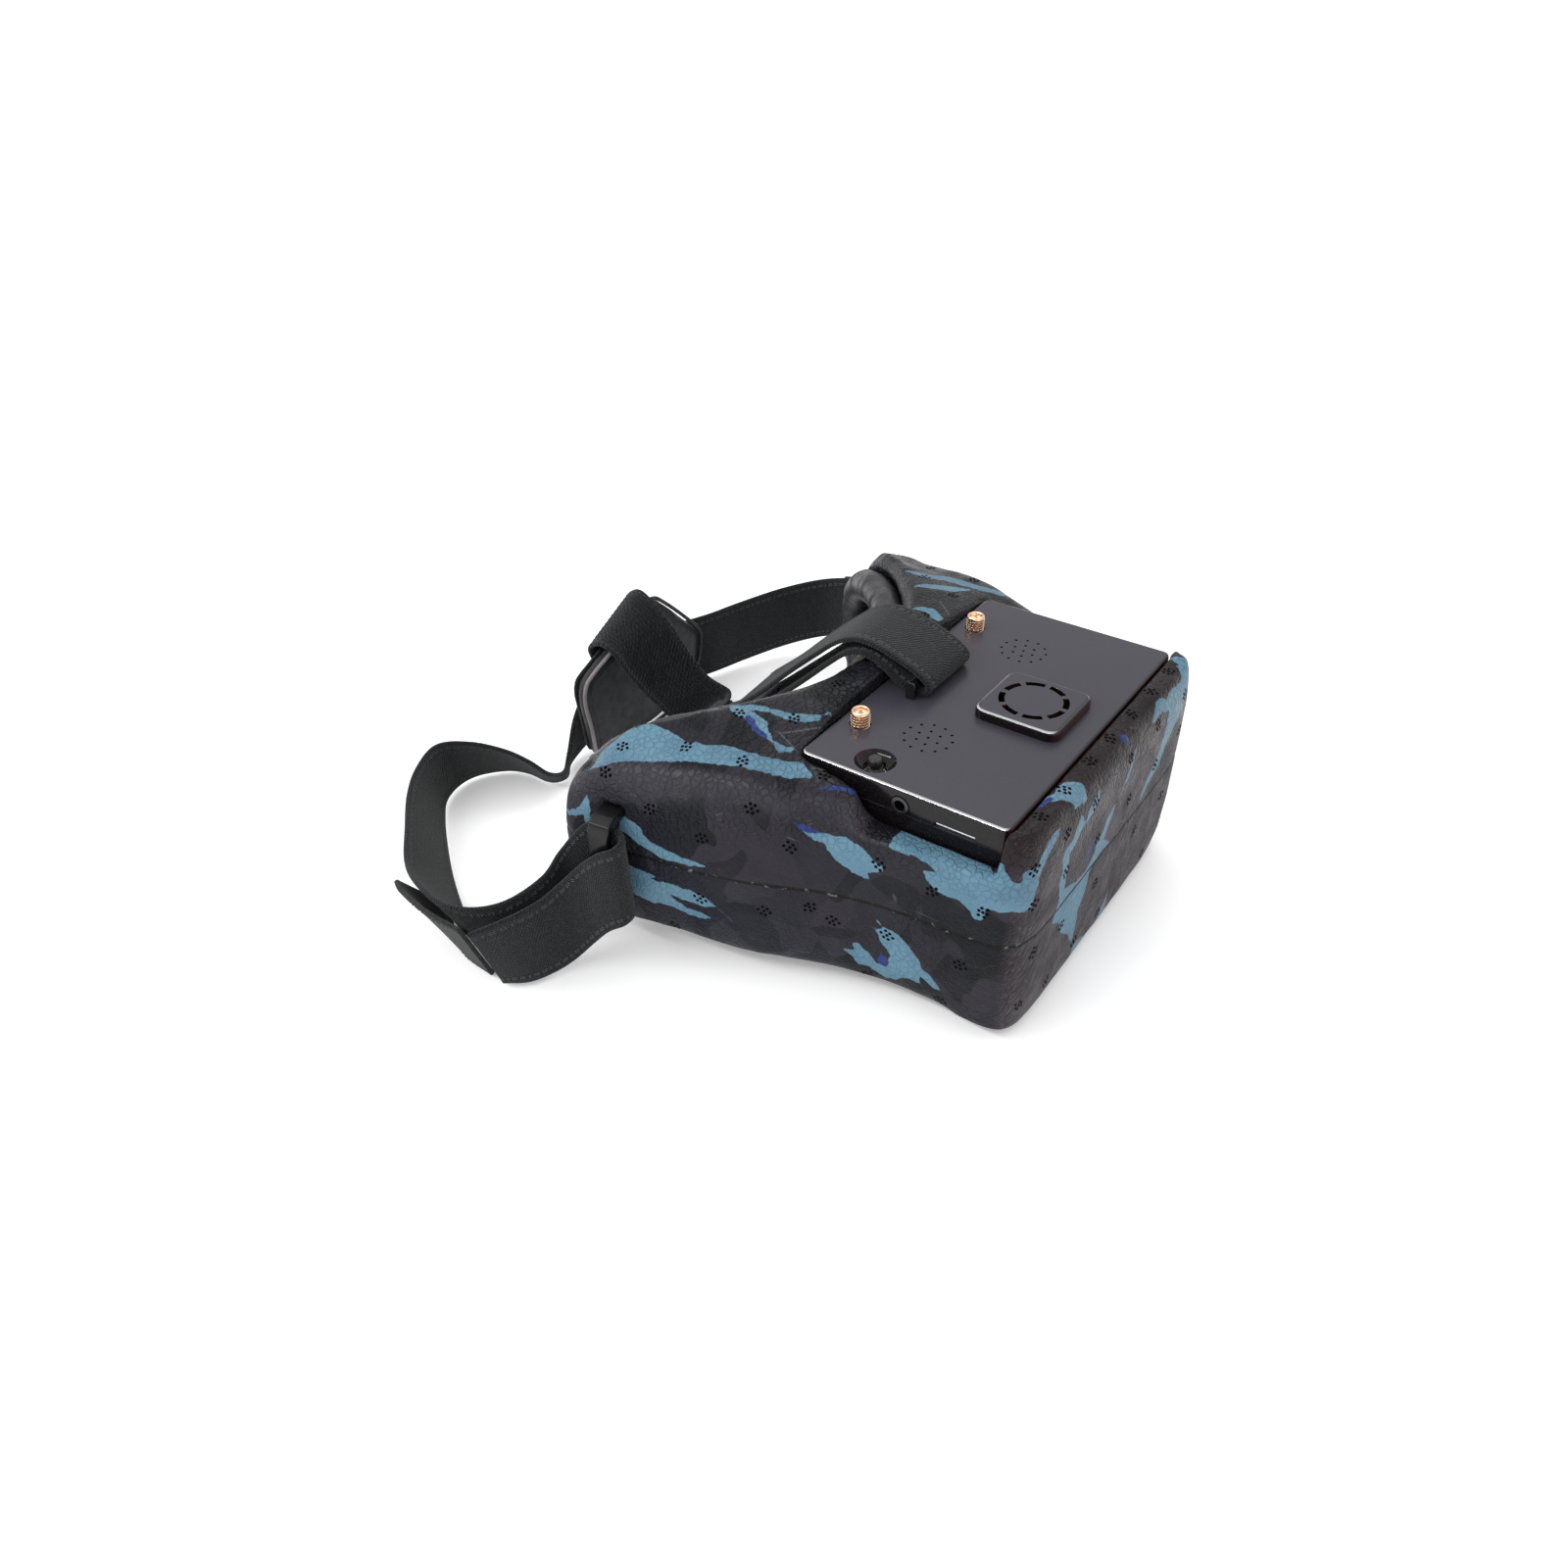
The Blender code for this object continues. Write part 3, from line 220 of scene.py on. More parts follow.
def foam_leaves(look, place, base):
    """The blue leaves: their edges are distances kept in the mesh, roughened by noise."""
    ragged = look.times(look.math("SUBTRACT", look.noise(place, 330.0, 3.0), 0.5), 2.4)
    edge = look.plus(look.attribute("blue"), ragged)
    cloud = look.noise(place, 60.0, 3.0)
    speck = look.noise(place, 1500.0, 1.0)
    blue = look.mix(look.span(cloud, 0.35, 0.65), (0.07, 0.155, 0.225), (0.1, 0.205, 0.285))
    blue = look.mix(look.span(speck, 0.3, 0.7, 0.0, 0.3), blue, (0.16, 0.28, 0.36))
    base = look.mix(look.span(edge, -0.1, 0.25), base, blue)
    royal = look.plus(look.attribute("royal"), look.times(ragged, 0.7))
    base = look.mix(look.span(royal, -0.1, 0.25), base, (0.016, 0.035, 0.15))
    return look.mix(look.span(speck, 0.45, 0.8, 0.0, 0.22), base, (0.004, 0.004, 0.006))


def printed_foam():
    look = Look("printed_foam", (0.03, 0.03, 0.035), 0.5, Specular_IOR_Level=0.17)
    place = look.where()
    height = look.parts("XYZ", place)[2]
    wander = look.node("TexNoise", Vector=place, Scale=45.0, Detail=2.0).outputs["Color"]
    base = foam_wear(look, place, height, foam_ground(look, place, wander))
    base = foam_leaves(look, place, base)
    off = look.math("ABSOLUTE", look.math("SUBTRACT", height, SEAM_Z * MM))
    seam = look.span(off, 0.00028, 0.00075, 1.0, 0.0)
    patches = look.span(look.noise(place, 420.0), 0.6, 0.68)
    fleck = look.times(look.span(off, 0.0005, 0.0009, 1.0, 0.0), patches)
    # the dark line along the parting seam is the joint between the halves, partly painted shade inside its
    # groove
    base = look.mix(look.times(seam, 0.92), base, (0.001, 0.001, 0.0015))
    base = look.mix(look.times(fleck, 0.45), base, (0.25, 0.24, 0.23))
    worn = look.span(look.noise(place, 120.0, 3.0), 0.3, 0.7, -0.08, 0.08)
    look.set(Base_Color=base, Roughness=look.plus(look.span(height, 0.05, 0.066, 0.52, 0.38), worn))
    bead = look.span(look.cells(look.moved(place, wander, 0.004), 430.0, "DISTANCE_TO_EDGE"), 0.0, 0.16)
    patchy = look.span(look.noise(place, 28.0), 0.4, 0.62, 0.15, 0.6)
    high_up = look.span(height, 0.05, 0.064, 0.0, 0.7)
    look.bump(look.times(bead, look.math("MAXIMUM", patchy, high_up)), 0.00045)
    look.bump(look.noise(place, 900.0, 3.0), 0.00012)
    look.bump(look.math("SUBTRACT", 1.0, seam), 0.0004)
    return look.mat


def woven(name, colour, pale, rib=0.0011, slant=0.5, depth=0.00022):
    """Knitted webbing: slanting ribs crossed by fine wales, with fuzz. UVs are in metres."""
    look = Look(name, colour, 0.88, Sheen_Weight=0.12, Sheen_Roughness=0.5, Specular_IOR_Level=0.2)
    flat = look.parts("XYZ", look.where("UV"))
    drift = look.times(look.math("SUBTRACT", look.noise(look.where(), 260.0), 0.5), rib * 1.6)
    lean = look.plus(look.plus(flat[0], look.times(flat[1], slant)), drift)
    ribs = look.math("SINE", look.times(lean, 2 * math.pi / rib))
    wales = look.math("SINE", look.times(look.plus(flat[1], drift), 2 * math.pi / (rib * 0.8)))
    knit = look.plus(look.times(ribs, 0.32), look.times(wales, 0.18))
    knit = look.plus(knit, 0.5)
    fuzz = look.noise(look.where(), 2600.0, 2.0)
    # the yarn's own colour, with the troughs between ribs and wales darkened as painted shade of the knit
    # relief
    tone = look.mix(look.span(knit, 0.25, 0.85), tuple(c * 0.45 for c in colour), colour)
    tone = look.mix(look.span(fuzz, 0.48, 0.7, 0.0, 0.8), tone, pale)
    look.set(Base_Color=tone)
    look.bump(knit, depth)
    look.bump(fuzz, 0.00018)
    return look.mat


def leatherette(name, colour, rough, grain=1100.0, folds=0.0):
    look = Look(name, colour, rough, Specular_IOR_Level=0.42)
    place = look.where()
    tint = look.mix(look.span(look.noise(place, 45.0, 3.0), 0.3, 0.7), tuple(c * 0.75 for c in colour),
                    tuple(c * 1.25 for c in colour))
    creases = look.span(look.cells(place, grain, "DISTANCE_TO_EDGE"), 0.0, 0.16)
    # painted shade: the crease lines are darkened along with their bump
    tint = look.mix(look.math("SUBTRACT", 1.0, creases), tint, tuple(c * 0.6 for c in colour))
    worn = look.span(look.noise(place, 300.0), 0.3, 0.7, rough - 0.06, rough + 0.08)
    look.set(Base_Color=tint, Roughness=worn)
    look.bump(creases, 0.00005)
    if folds:
        look.bump(look.noise(look.where(stretch=(0.4, 0.4, 1)), 260.0, 3.0, 0.6), folds)
    return look.mat


def moulded(name, colour, rough, grain=0.0, coat=0.0, metal=0.0, wear=(0.08, 0.08, 0.085), gleam=0.5):
    """Moulded plastic or plated metal: faint grain, smudged gloss and a slightly paler dust tone."""
    look = Look(name, colour, rough, metal, Coat_Weight=coat, Coat_Roughness=0.12,
                Specular_IOR_Level=gleam)
    place = look.where()
    smudge = look.noise(place, 55.0, 4.0)
    look.set(Roughness=look.span(smudge, 0.3, 0.75, max(0.04, rough - 0.05), rough + 0.07))
    dust = look.noise(place, 1900.0, 2.0)
    look.set(Base_Color=look.mix(look.span(dust, 0.58, 0.8, 0.0, 0.22), colour, wear))
    if grain:
        look.bump(look.noise(place, 2400.0, 2.0), grain)
    return look.mat


def satin_case():
    """Moulded case: fine matt grain on the upward faces, glossy sides and rolled edges."""
    look = Look("satin_case", (0.012, 0.012, 0.015), 0.3, Coat_Weight=0.08, Coat_Roughness=0.05,
                Specular_IOR_Level=0.22)
    place = look.where()
    forward, up = look.facing()[1:]
    matt = look.span(up, 0.9, 0.99)
    smudge = look.span(look.noise(place, 40.0, 3.0), 0.3, 0.75, -0.03, 0.05)
    look.set(Roughness=look.plus(look.span(up, 0.9, 0.99, 0.12, 0.3), smudge))
    grain = look.noise(place, 2300.0, 2.0)
    # forward-facing sides are tinted dark red as a painted reflection; the paler tone of the upward faces is
    # their matt finish and partly painted reflection of the overhead light
    side = look.mix(look.span(forward, 0.5, 0.9), (0.004, 0.003, 0.0035), (0.028, 0.008, 0.01))
    tone = look.mix(matt, side, (0.037, 0.0345, 0.046))
    tone = look.mix(look.span(grain, 0.55, 0.8, 0.0, 0.25), tone, (0.075, 0.072, 0.085))
    # the rolled rim of the plate and of the fan plinth gets a pale metallic band: a painted highlight
    # standing in for the edge glint, kept off edges facing forward
    spot = look.parts("XYZ", place)
    rim = look.math("MAXIMUM", look.span(look.math("ABSOLUTE", spot[0]), 0.0585, 0.0592),
                    look.span(look.math("ABSOLUTE", spot[1]), 0.0325, 0.0332))
    rim = look.times(look.math("MAXIMUM", rim, look.span(spot[2], 0.0808, 0.0812)),
                     look.span(spot[2], 0.0768, 0.0774))
    rolled = look.times(look.span(up, 0.4, 0.55), look.span(up, 0.93, 0.85))
    rim = look.times(look.times(rim, rolled), look.span(forward, 0.55, 0.25))
    look.set(Base_Color=look.mix(rim, tone, (0.62, 0.62, 0.64)), Metallic=look.times(rim, 0.8))
    look.bump(look.times(grain, matt), 0.00001)
    return look.mat


def lens_clear():
    """Clear ribbed sheet: rings of fine facets round one middle point."""
    look = Look("lens_clear", (0.93, 0.95, 0.97), 0.05, Transmission_Weight=0.85, IOR=1.49)
    away = look.node("VectorMath", {"operation": "DISTANCE"}, i0=look.where(), i1=(0.0, -0.0386, 0.032))
    rings = look.math("FRACT", look.times(away.outputs["Value"], 1100.0))
    look.bump(rings, 0.00025)
    return look.mat


FOAM = printed_foam()
WEBBING = woven("webbing", (0.0085, 0.0092, 0.0108), (0.03, 0.033, 0.036))
LOOP_PILE = woven("loop_pile", (0.01, 0.0105, 0.0115), (0.05, 0.052, 0.054), rib=0.0008, slant=1.4)
RIBBED = woven("ribbed_elastic", (0.0085, 0.0092, 0.0108), (0.028, 0.031, 0.035), rib=0.0021, slant=0.9,
               depth=0.0005)
THREAD = moulded("thread", (0.045, 0.048, 0.053), 0.75)
THREAD_DARK = moulded("thread_dark", (0.016, 0.017, 0.02), 0.8)
LEATHER = leatherette("leatherette", (0.021, 0.021, 0.024), 0.36, 1300.0, 0.0003)
PAD_SKIN = leatherette("pad_skin", (0.009, 0.0105, 0.014), 0.5, 1900.0)
PIPING = leatherette("piping", (0.22, 0.2, 0.2), 0.4, 2200.0)
PIPING_DARK = leatherette("piping_dark", (0.014, 0.015, 0.018), 0.5, 2200.0)
CASE = satin_case()
GLOSS = moulded("gloss_black", (0.004, 0.004, 0.005), 0.16, coat=0.2, wear=(0.02, 0.02, 0.02))
RUBBER = moulded("stick_rubber", (0.01, 0.01, 0.011), 0.5, 0.00002)
# near-black discs at the foot of the vent pits: painted shade standing in for the holes
PIT_SHADE = moulded("painted_pit_shade", (0.0015, 0.0015, 0.002), 0.8, wear=(0.008, 0.008, 0.008), gleam=0.05)
LOOP = moulded("loop_plastic", (0.004, 0.004, 0.005), 0.24, 0.00001, wear=(0.012, 0.012, 0.012), gleam=0.3)
GOLD = moulded("gold_plate", (0.9, 0.62, 0.42), 0.08, metal=1.0, wear=(0.45, 0.25, 0.14))
STEEL = moulded("bright_steel", (0.72, 0.72, 0.74), 0.22, 0.00001, metal=1.0, wear=(0.35, 0.35, 0.36))
MIRROR = moulded("silvered", (0.93, 0.93, 0.94), 0.04, metal=1.0, wear=(0.8, 0.8, 0.82))
LENS = lens_clear()
SCREEN = moulded("screen_glass", (0.01, 0.011, 0.015), 0.08, coat=0.6)
BOARD = moulded("solder_resist", (0.015, 0.1, 0.04), 0.4, 0.00002)
SLEEVE = moulded("battery_sleeve", (0.06, 0.08, 0.2), 0.35)
PIN = moulded("white_insert", (0.75, 0.72, 0.66), 0.4)


# --------------------------------------------------------------------------
# Pieces
# --------------------------------------------------------------------------
def new_object(name, mesh):
    ob = bpy.data.objects.new(name, mesh)
    SCENE.collection.objects.link(ob)
    return ob


def from_lists(name, verts, faces, uvs=None):
    """Mesh object from points in mm and faces, with one UV per corner in metres."""
    mesh = bpy.data.meshes.new(name)
    mesh.from_pydata([tuple(c * MM for c in v) for v in verts], [], faces)
    if uvs:
        layer = mesh.uv_layers.new(name="UVMap")
        layer.data.foreach_set("uv", np.array(uvs, np.float32).ravel())
    mesh.validate()
    return new_object(name, mesh)


def quads(rows, sides, first=0):
    """Faces between neighbouring closed rings of 'sides' points each."""
    return [(first + i * sides + k, first + i * sides + (k + 1) % sides,
             first + (i + 1) * sides + (k + 1) % sides, first + (i + 1) * sides + k)
            for i in range(rows - 1) for k in range(sides)]


def smoothed(ob, sharp):
    ob.data.shade_smooth()
    ob.data.set_sharp_from_angle(angle=math.radians(sharp))


@contextmanager
def edited(mesh):
    """The mesh as a bmesh, written back afterwards."""
    bm = bmesh.new()
    bm.from_mesh(mesh)
    yield bm
    bm.to_mesh(mesh)
    bm.free()


def settle(ob, look, slot, *nodes, body=ROOT, sharp=None):
    """Give a piece its material and its body, and hide the CAD nodes that it stands for."""
    ob.data.materials.clear()
    ob.data.materials.append(look)
    if sharp is not None:
        smoothed(ob, sharp)
    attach(ob, body)
    if nodes:
        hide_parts(*nodes)
    return ob


def cad_copy(name, *nodes):
    """New object holding the welded meshes of CAD nodes."""
    bm = bmesh.new()
    for node in nodes:
        bm.from_mesh(NODES[node].data)
    bmesh.ops.remove_doubles(bm, verts=bm.verts, dist=1e-6)
    mesh = bpy.data.meshes.new(name)
    bm.to_mesh(mesh)
    bm.free()
    mesh.materials.clear()
    return new_object(name, mesh)


def evaluated(ob):
    """Replace a piece's mesh by its evaluated one and drop its modifiers."""
    graph = bpy.context.evaluated_depsgraph_get()
    mesh = bpy.data.meshes.new_from_object(ob.evaluated_get(graph))
    ob.modifiers.clear()
    old, ob.data = ob.data, mesh
    bpy.data.meshes.remove(old)
    return ob


def coordinates(mesh):
    co = np.zeros(len(mesh.vertices) * 3)
    mesh.vertices.foreach_get("co", co)
    return co.reshape(-1, 3)


def normals(mesh):
    out = np.zeros(len(mesh.vertices) * 3, np.float32)
    mesh.vertices.foreach_get("normal", out)
    return out.reshape(-1, 3)


def put_coordinates(mesh, co):
    mesh.vertices.foreach_set("co", co.astype(np.float32).ravel())
    mesh.update()


def edge_list(mesh):
    edges = np.zeros(len(mesh.edges) * 2, np.int32)
    mesh.edges.foreach_get("vertices", edges)
    return edges.reshape(-1, 2)


def relax(co, edges, weight, rounds):
    """Move each point towards its neighbours' mean."""
    n = len(co)
    count = np.maximum(np.bincount(edges.ravel(), minlength=n), 1)[:, None]
    a, b = edges.T
    for _ in range(rounds):
        total = np.stack([np.bincount(a, co[b, k], n) + np.bincount(b, co[a, k], n) for k in range(3)], 1)
        co = co + weight[:, None] * (total / count - co)
    return co


def remeshed(ob, voxel):
    """One closed skin of 'voxel' mm cells over the piece."""
    remesh = ob.modifiers.new("remesh", "REMESH")
    remesh.mode = "VOXEL"
    remesh.voxel_size = voxel * MM
    return evaluated(ob)


def surface_of(ob):
    points = [v.co.copy() for v in ob.data.vertices]
    return BVHTree.FromPolygons(points, [list(p.vertices) for p in ob.data.polygons])


# --------------------------------------------------------------------------
# Foam body
# --------------------------------------------------------------------------

FOAM_VOXEL = 1.1
CREASE_ANGLE = math.radians(40)
CREASE_GAP = 1.5                # between the points kept along a crease
SEAM_REACH = 0.3
SMOOTHING_ROUNDS = 44
GROOVE_REACH, GROOVE_DEEP = 1.1, 0.28
RIPPLE_SIZE, RIPPLE_HIGH = 7.0, 0.14

# Printed leaves as outlines on a face, in mm: side (y, z), front (x, z), top (x, y)
LEAVES = [
    ("top", [(92, -94), (86, -93), (79, -89), (74, -84), (73, -77), (74, -69), (73, -62), (71, -55),
             (70, -47), (68, -40), (64, -32), (65, -29), (67, -26), (71, -31), (73, -36), (75, -42),
             (77, -48), (79, -55), (81, -63), (84, -72), (88, -81), (92, -88)]),
    ("top", [(56, -67), (53, -60), (51, -54), (50, -47), (46, -40), (42, -35), (42, -38), (45, -38),
             (47, -37), (52, -43), (53, -47), (53, -52), (55, -58), (56, -54), (57, -50), (60, -47),
             (62, -44), (62, -41), (61, -37), (63, -37), (65, -40), (63, -44), (62, -48), (59, -55),
             (59, -62)]),
    ("side", [(-104, 48), (-100, 50), (-97, 52), (-94, 55), (-92, 59), (-90, 56), (-90, 50), (-92, 48),
              (-93, 51), (-96, 50), (-99, 48)]),
    ("side", [(-80, 55), (-77, 55), (-73, 53), (-71, 50), (-68, 48), (-64, 47), (-59, 46), (-52, 45),
              (-44, 45), (-52, 44), (-59, 43), (-66, 43), (-71, 45), (-76, 48), (-80, 50)]),
    ("side", [(-90, 50), (-84, 50), (-85, 44), (-88, 41), (-91, 44)]),
    ("side", [(-80, 37), (-74, 36), (-68, 35), (-71, 33), (-61, 33.5), (-56, 33), (-51, 32), (-47, 29),
              (-51, 28), (-56, 28), (-64, 29), (-58, 25), (-53, 25), (-48, 24), (-55, 22), (-60, 23),
              (-65, 24), (-70, 23), (-76, 24), (-80, 28)]),
    ("side", [(-24, 64), (-17, 63.5), (-10, 63.5), (-5, 61.5), (-2, 58.5), (2, 56), (0, 54), (-4, 53),
              (-2, 50.5), (-6, 51), (-10, 53), (-15, 57), (-17, 60), (-20, 61)]),
    ("side", [(-4, 66), (6, 67), (25, 67), (31, 67), (36, 72), (39, 67), (42, 64), (46, 68), (46, 54),
              (42, 54), (40, 56), (35, 60), (37, 57), (38, 54.5), (33, 55), (34, 51), (31, 49),
              (29, 52), (26, 54), (21, 54), (16, 56), (14, 59), (13, 60.5), (18, 61), (15, 63),
              (8, 65)]),
    ("top", [(60, 2), (72, 2), (73, 34), (66, 34), (60, 30)]),
    ("front", [(70, 55), (64, 54.5), (60, 56), (58, 62), (58, 65), (54, 69), (48, 73), (45, 75),
               (51, 75), (57, 72), (59, 68), (63, 69.5), (64, 65), (70, 66)]),
    ("front", [(32, 71), (29, 66), (33, 64), (35, 62), (39, 61), (39, 48), (29, 44), (22, 43),
               (17, 46.5), (16, 51), (12, 52), (10, 56), (3, 59), (5, 54), (8, 51), (10, 48), (1, 41),
               (11, 43), (18, 40), (19, 34), (22, 27), (22, 12), (28, 21), (35, 27), (39, 34), (45, 38),
               (42, 45), (44, 52), (43, 57), (44, 65), (38, 65)]),
    ("front", [(19, 72), (19, 69), (24, 66), (28, 65), (27, 69)]),
    ("front", [(-20, 43), (-23, 50), (-30, 54), (-33, 58), (-36, 64), (-37, 71), (-30, 73), (-22, 73),
               (-27, 77), (-31, 78), (-35, 76), (-41, 77), (-46, 76), (-51, 76), (-55, 82), (-62, 82),
               (-60, 70), (-56, 69), (-50, 64), (-43, 60), (-38, 55), (-34, 50), (-26, 47)]),
    ("front", [(-1, 62), (-4, 66), (-8, 71), (-9.5, 71), (-7, 66), (-4, 62)]),
    ("front", [(18, 10), (8, 6), (-2, 3), (-6, 17), (-9, 3), (20, 2)]),
    ("top", [(46, 34), (38, 37), (31, 37), (27, 41), (28, 46), (34, 46), (38, 41), (43, 38)]),
    ("top", [(-56, 36), (-60, 37), (-60, 45), (-50, 46), (-50, 43), (-54, 42)]),
    ("side", [(0, 36), (2, 35), (7, 33), (10, 31), (14, 27), (16, 23), (19, 21), (23, 16), (20, 16),
              (15, 19), (16, 15), (11, 16), (8, 13), (4, 11), (1, 13), (-2, 15), (-5, 15), (-7, 17),
              (-10, 20), (-6, 21), (-8, 24), (-5, 24), (-2, 21), (1, 18), (4, 18), (5, 23), (3, 26),
              (1, 30), (-1, 32), (2, 33)]),
    ("top", [(-60, -70), (-62, -61), (-69, -55), (-70, -44), (-76, -32), (-70, -33), (-65, -44),
             (-62, -53), (-57, -60)]),
    ("top", [(-47, -60), (-56, -52), (-64, -42), (-55, -45), (-49, -52)]),
    ("top", [(-32, -52), (-35, -43), (-31, -37), (-27, -37), (-30, -43)]),
]
ROYAL = [
    ("top", [(57, -58), (58, -54), (60, -51), (61, -47), (63, -46), (62, -52), (59, -57)]),
    ("side", [(-27, 65.5), (-22, 65), (-16, 63.2), (-20, 62.6), (-24, 63.4)]),
    ("front", [(-2, 78.6), (-4.6, 78), (-5.4, 75.8), (-3, 75.6), (-1.6, 77)]),
    ("side", [(0.5, 19), (2, 22.5), (4.6, 21.5), (5, 19), (3.4, 17), (1.5, 17.4)]),
    ("front", [(24, 46), (20, 50), (18, 54), (20, 54), (25, 49)]),
    ("top", [(47, 35), (40, 37), (40, 39), (47, 37)]),
    ("top", [(70, -24), (66, -16), (64, -12), (63, -14), (66, -20)]),
]
# which coordinates lie in the face, which way it looks and how far out it starts
FACES = {"side": ((1, 2), 0, 1, 55.0), "far": ((1, 2), 0, -1, 55.0), "front": ((0, 2), 1, 1, 36.0),
         "top": ((0, 1), 2, 1, 60.0)}
# the far side wears the same leaves, run the other way
FAR_SHIFT = -58.0


def polygon_distance(p, outline):
    """Distance from points to an outline, positive inside."""
    best = np.full(len(p), 1e9)
    inside = np.zeros(len(p), bool)
    a = np.array(outline, float)
    for (ax, ay), (bx, by) in zip(a, np.roll(a, -1, 0)):
        dx, dy = bx - ax, by - ay
        t = np.clip(((p[:, 0] - ax) * dx + (p[:, 1] - ay) * dy) / (dx * dx + dy * dy), 0, 1)
        best = np.minimum(best, np.hypot(p[:, 0] - ax - t * dx, p[:, 1] - ay - t * dy))
        if ay != by:
            crosses = ((ay > p[:, 1]) != (by > p[:, 1])) & (p[:, 0] < dx * (p[:, 1] - ay) / dy + ax)
            inside ^= crosses
    return np.where(inside, best, -best)


def leaf_field(co, out, leaves):
    """Signed distance in mm from each mesh point to the nearest printed leaf."""
    field = np.full(len(co), -20.0)
    for face, outline in leaves:
        axes, across, sign, start = FACES[face]
        near = (out[:, across] * sign > 0.3) & (co[:, across] * sign > start)
        inside = polygon_distance(co[near][:, axes], outline)
        field[near] = np.maximum(field[near], inside)
    return field


def crease_tree(bm):
    """Points along the foam's sharp edges, leaving out the seam and the shoulders beside the plate."""
    creases = KDTree(200000)
    count = 0
    for edge in bm.edges:
        a, b = (v.co / MM for v in edge.verts)
        on_seam = abs(a.z - SEAM_Z) < SEAM_REACH and abs(b.z - SEAM_Z) < SEAM_REACH
        shoulder = abs((a.x + b.x) / 2) > 61 and -22 < (a.y + b.y) / 2 < -2 and (a.z + b.z) / 2 > 66
        if on_seam or shoulder or edge.calc_face_angle(0) < CREASE_ANGLE:
            continue
        steps = max(1, int((b - a).length / CREASE_GAP))
        for k in range(steps + 1):
            creases.insert(a.lerp(b, k / steps), count)
            count += 1
    creases.balance()
    return creases


def foam_skin():
    """One smooth skin over both foam halves, fine enough for the seam and the printed leaves."""
    ob = cad_copy("foam_skin", "foam_shell_upper", "foam_shell_lower")
    with edited(ob.data) as bm:
        creases = crease_tree(bm)
        # the thin step between the halves is closed before the skin is drawn over them
        for v in bm.verts:
            if abs(v.co.z / MM - (SEAM_Z - 0.15)) < 0.02:
                v.co.z = (SEAM_Z + 0.3) * MM
    mesh = remeshed(ob, FOAM_VOXEL).data
    co = coordinates(mesh) / MM
    away = np.array([creases.find(p)[2] for p in co])
    weight = 0.06 + 0.54 * np.clip((away - 1.2) / 5.0, 0, 1)
    co = relax(co, edge_list(mesh), weight, SMOOTHING_ROUNDS)
    put_coordinates(mesh, co * MM)
    out = normals(mesh)
    upright = np.clip(1.2 - np.abs(out[:, 2]) * 2, 0, 1)
    groove = np.clip(1 - np.abs(co[:, 2] - SEAM_Z) / GROOVE_REACH, 0, 1) * upright * GROOVE_DEEP
    rough = np.array([noise.noise(Vector(p) / RIPPLE_SIZE) for p in co]) * RIPPLE_HIGH
    co = co + out * (rough - groove)[:, None]
    put_coordinates(mesh, co * MM)
    far = [("far", [(FAR_SHIFT - y, z) for y, z in outline]) for face, outline in LEAVES if face == "side"]
    for name, leaves in (("blue", LEAVES + far), ("royal", ROYAL)):
        values = leaf_field(co, out, leaves)
        mesh.attributes.new(name, "FLOAT", "POINT").data.foreach_set("value", values.astype(np.float32))
    mesh.shade_smooth()
    return settle(ob, FOAM, "foam", "foam_shell_upper", "foam_shell_lower")


# Middles of the moulding vents, in mm, on the sides (y, z), the top (x, y) and the front (x, z)
SIDE_VENTS = [(-52, 55), (-26, 57), (0, 57), (-53, 31), (-33, 31), (-20, 35), (-13, 31), (17, 54), (33, 53),
              (4, 31), (28, 30), (-96, 36), (-86, 68), (-70, 60), (-3, 10), (22, 11), (-64, 14), (-38, 68)]
TOP_VENTS = [(74, -47), (76, -67), (58, -60), (51, -44), (28, -43), (84, -86), (66, -86), (64, -24)]
FRONT_VENTS = [(60, 68), (59, 55), (55, 34), (42, 70), (40, 55), (36, 31), (16, 52), (10, 30), (0, 10),
               (-5, 70), (-9, 52), (-22, 31), (-39, 10), (-31, 53), (-47, 31), (-53, 55), (-53, 69), (22, 69),
               (-28, 70), (40, 10), (58, 14), (-58, 12), (20, 12)]
BROW_VENTS, BROW_Y = (1, -16, -32, -48, 16, 34, 50), 39
VENT_SIDES = 7
VENT_RINGS = ((0.66, -0.06), (0.5, 0.07), (0.32, 0.03))


def vent_targets():
    """Where each cluster is aimed from, and which way."""
    targets = []
    for side in (1, -1):
        targets += [((side * 160, y, z), (-side, 0, 0)) for y, z in SIDE_VENTS]
        targets += [((side * x, y, 120), (0, 0, -1)) for x, y in TOP_VENTS]
    targets += [((x, 120, z), (0, -1, 0)) for x, z in FRONT_VENTS]
    return targets + [((x, BROW_Y, 120), (0, 0, -1)) for x in BROW_VENTS]


def vent_spots(x, z):
    """A middle pit and six more round it, no two clusters quite alike."""
    spots = [(0.0, 0.0)]
    for k in range(6):
        turn = k * math.pi / 3 + x
        reach = 1.65 + 0.35 * math.sin(k * 2.3 + x * 1.7 + z)
        spots.append((reach * math.cos(turn), reach * math.sin(turn)))
    return spots


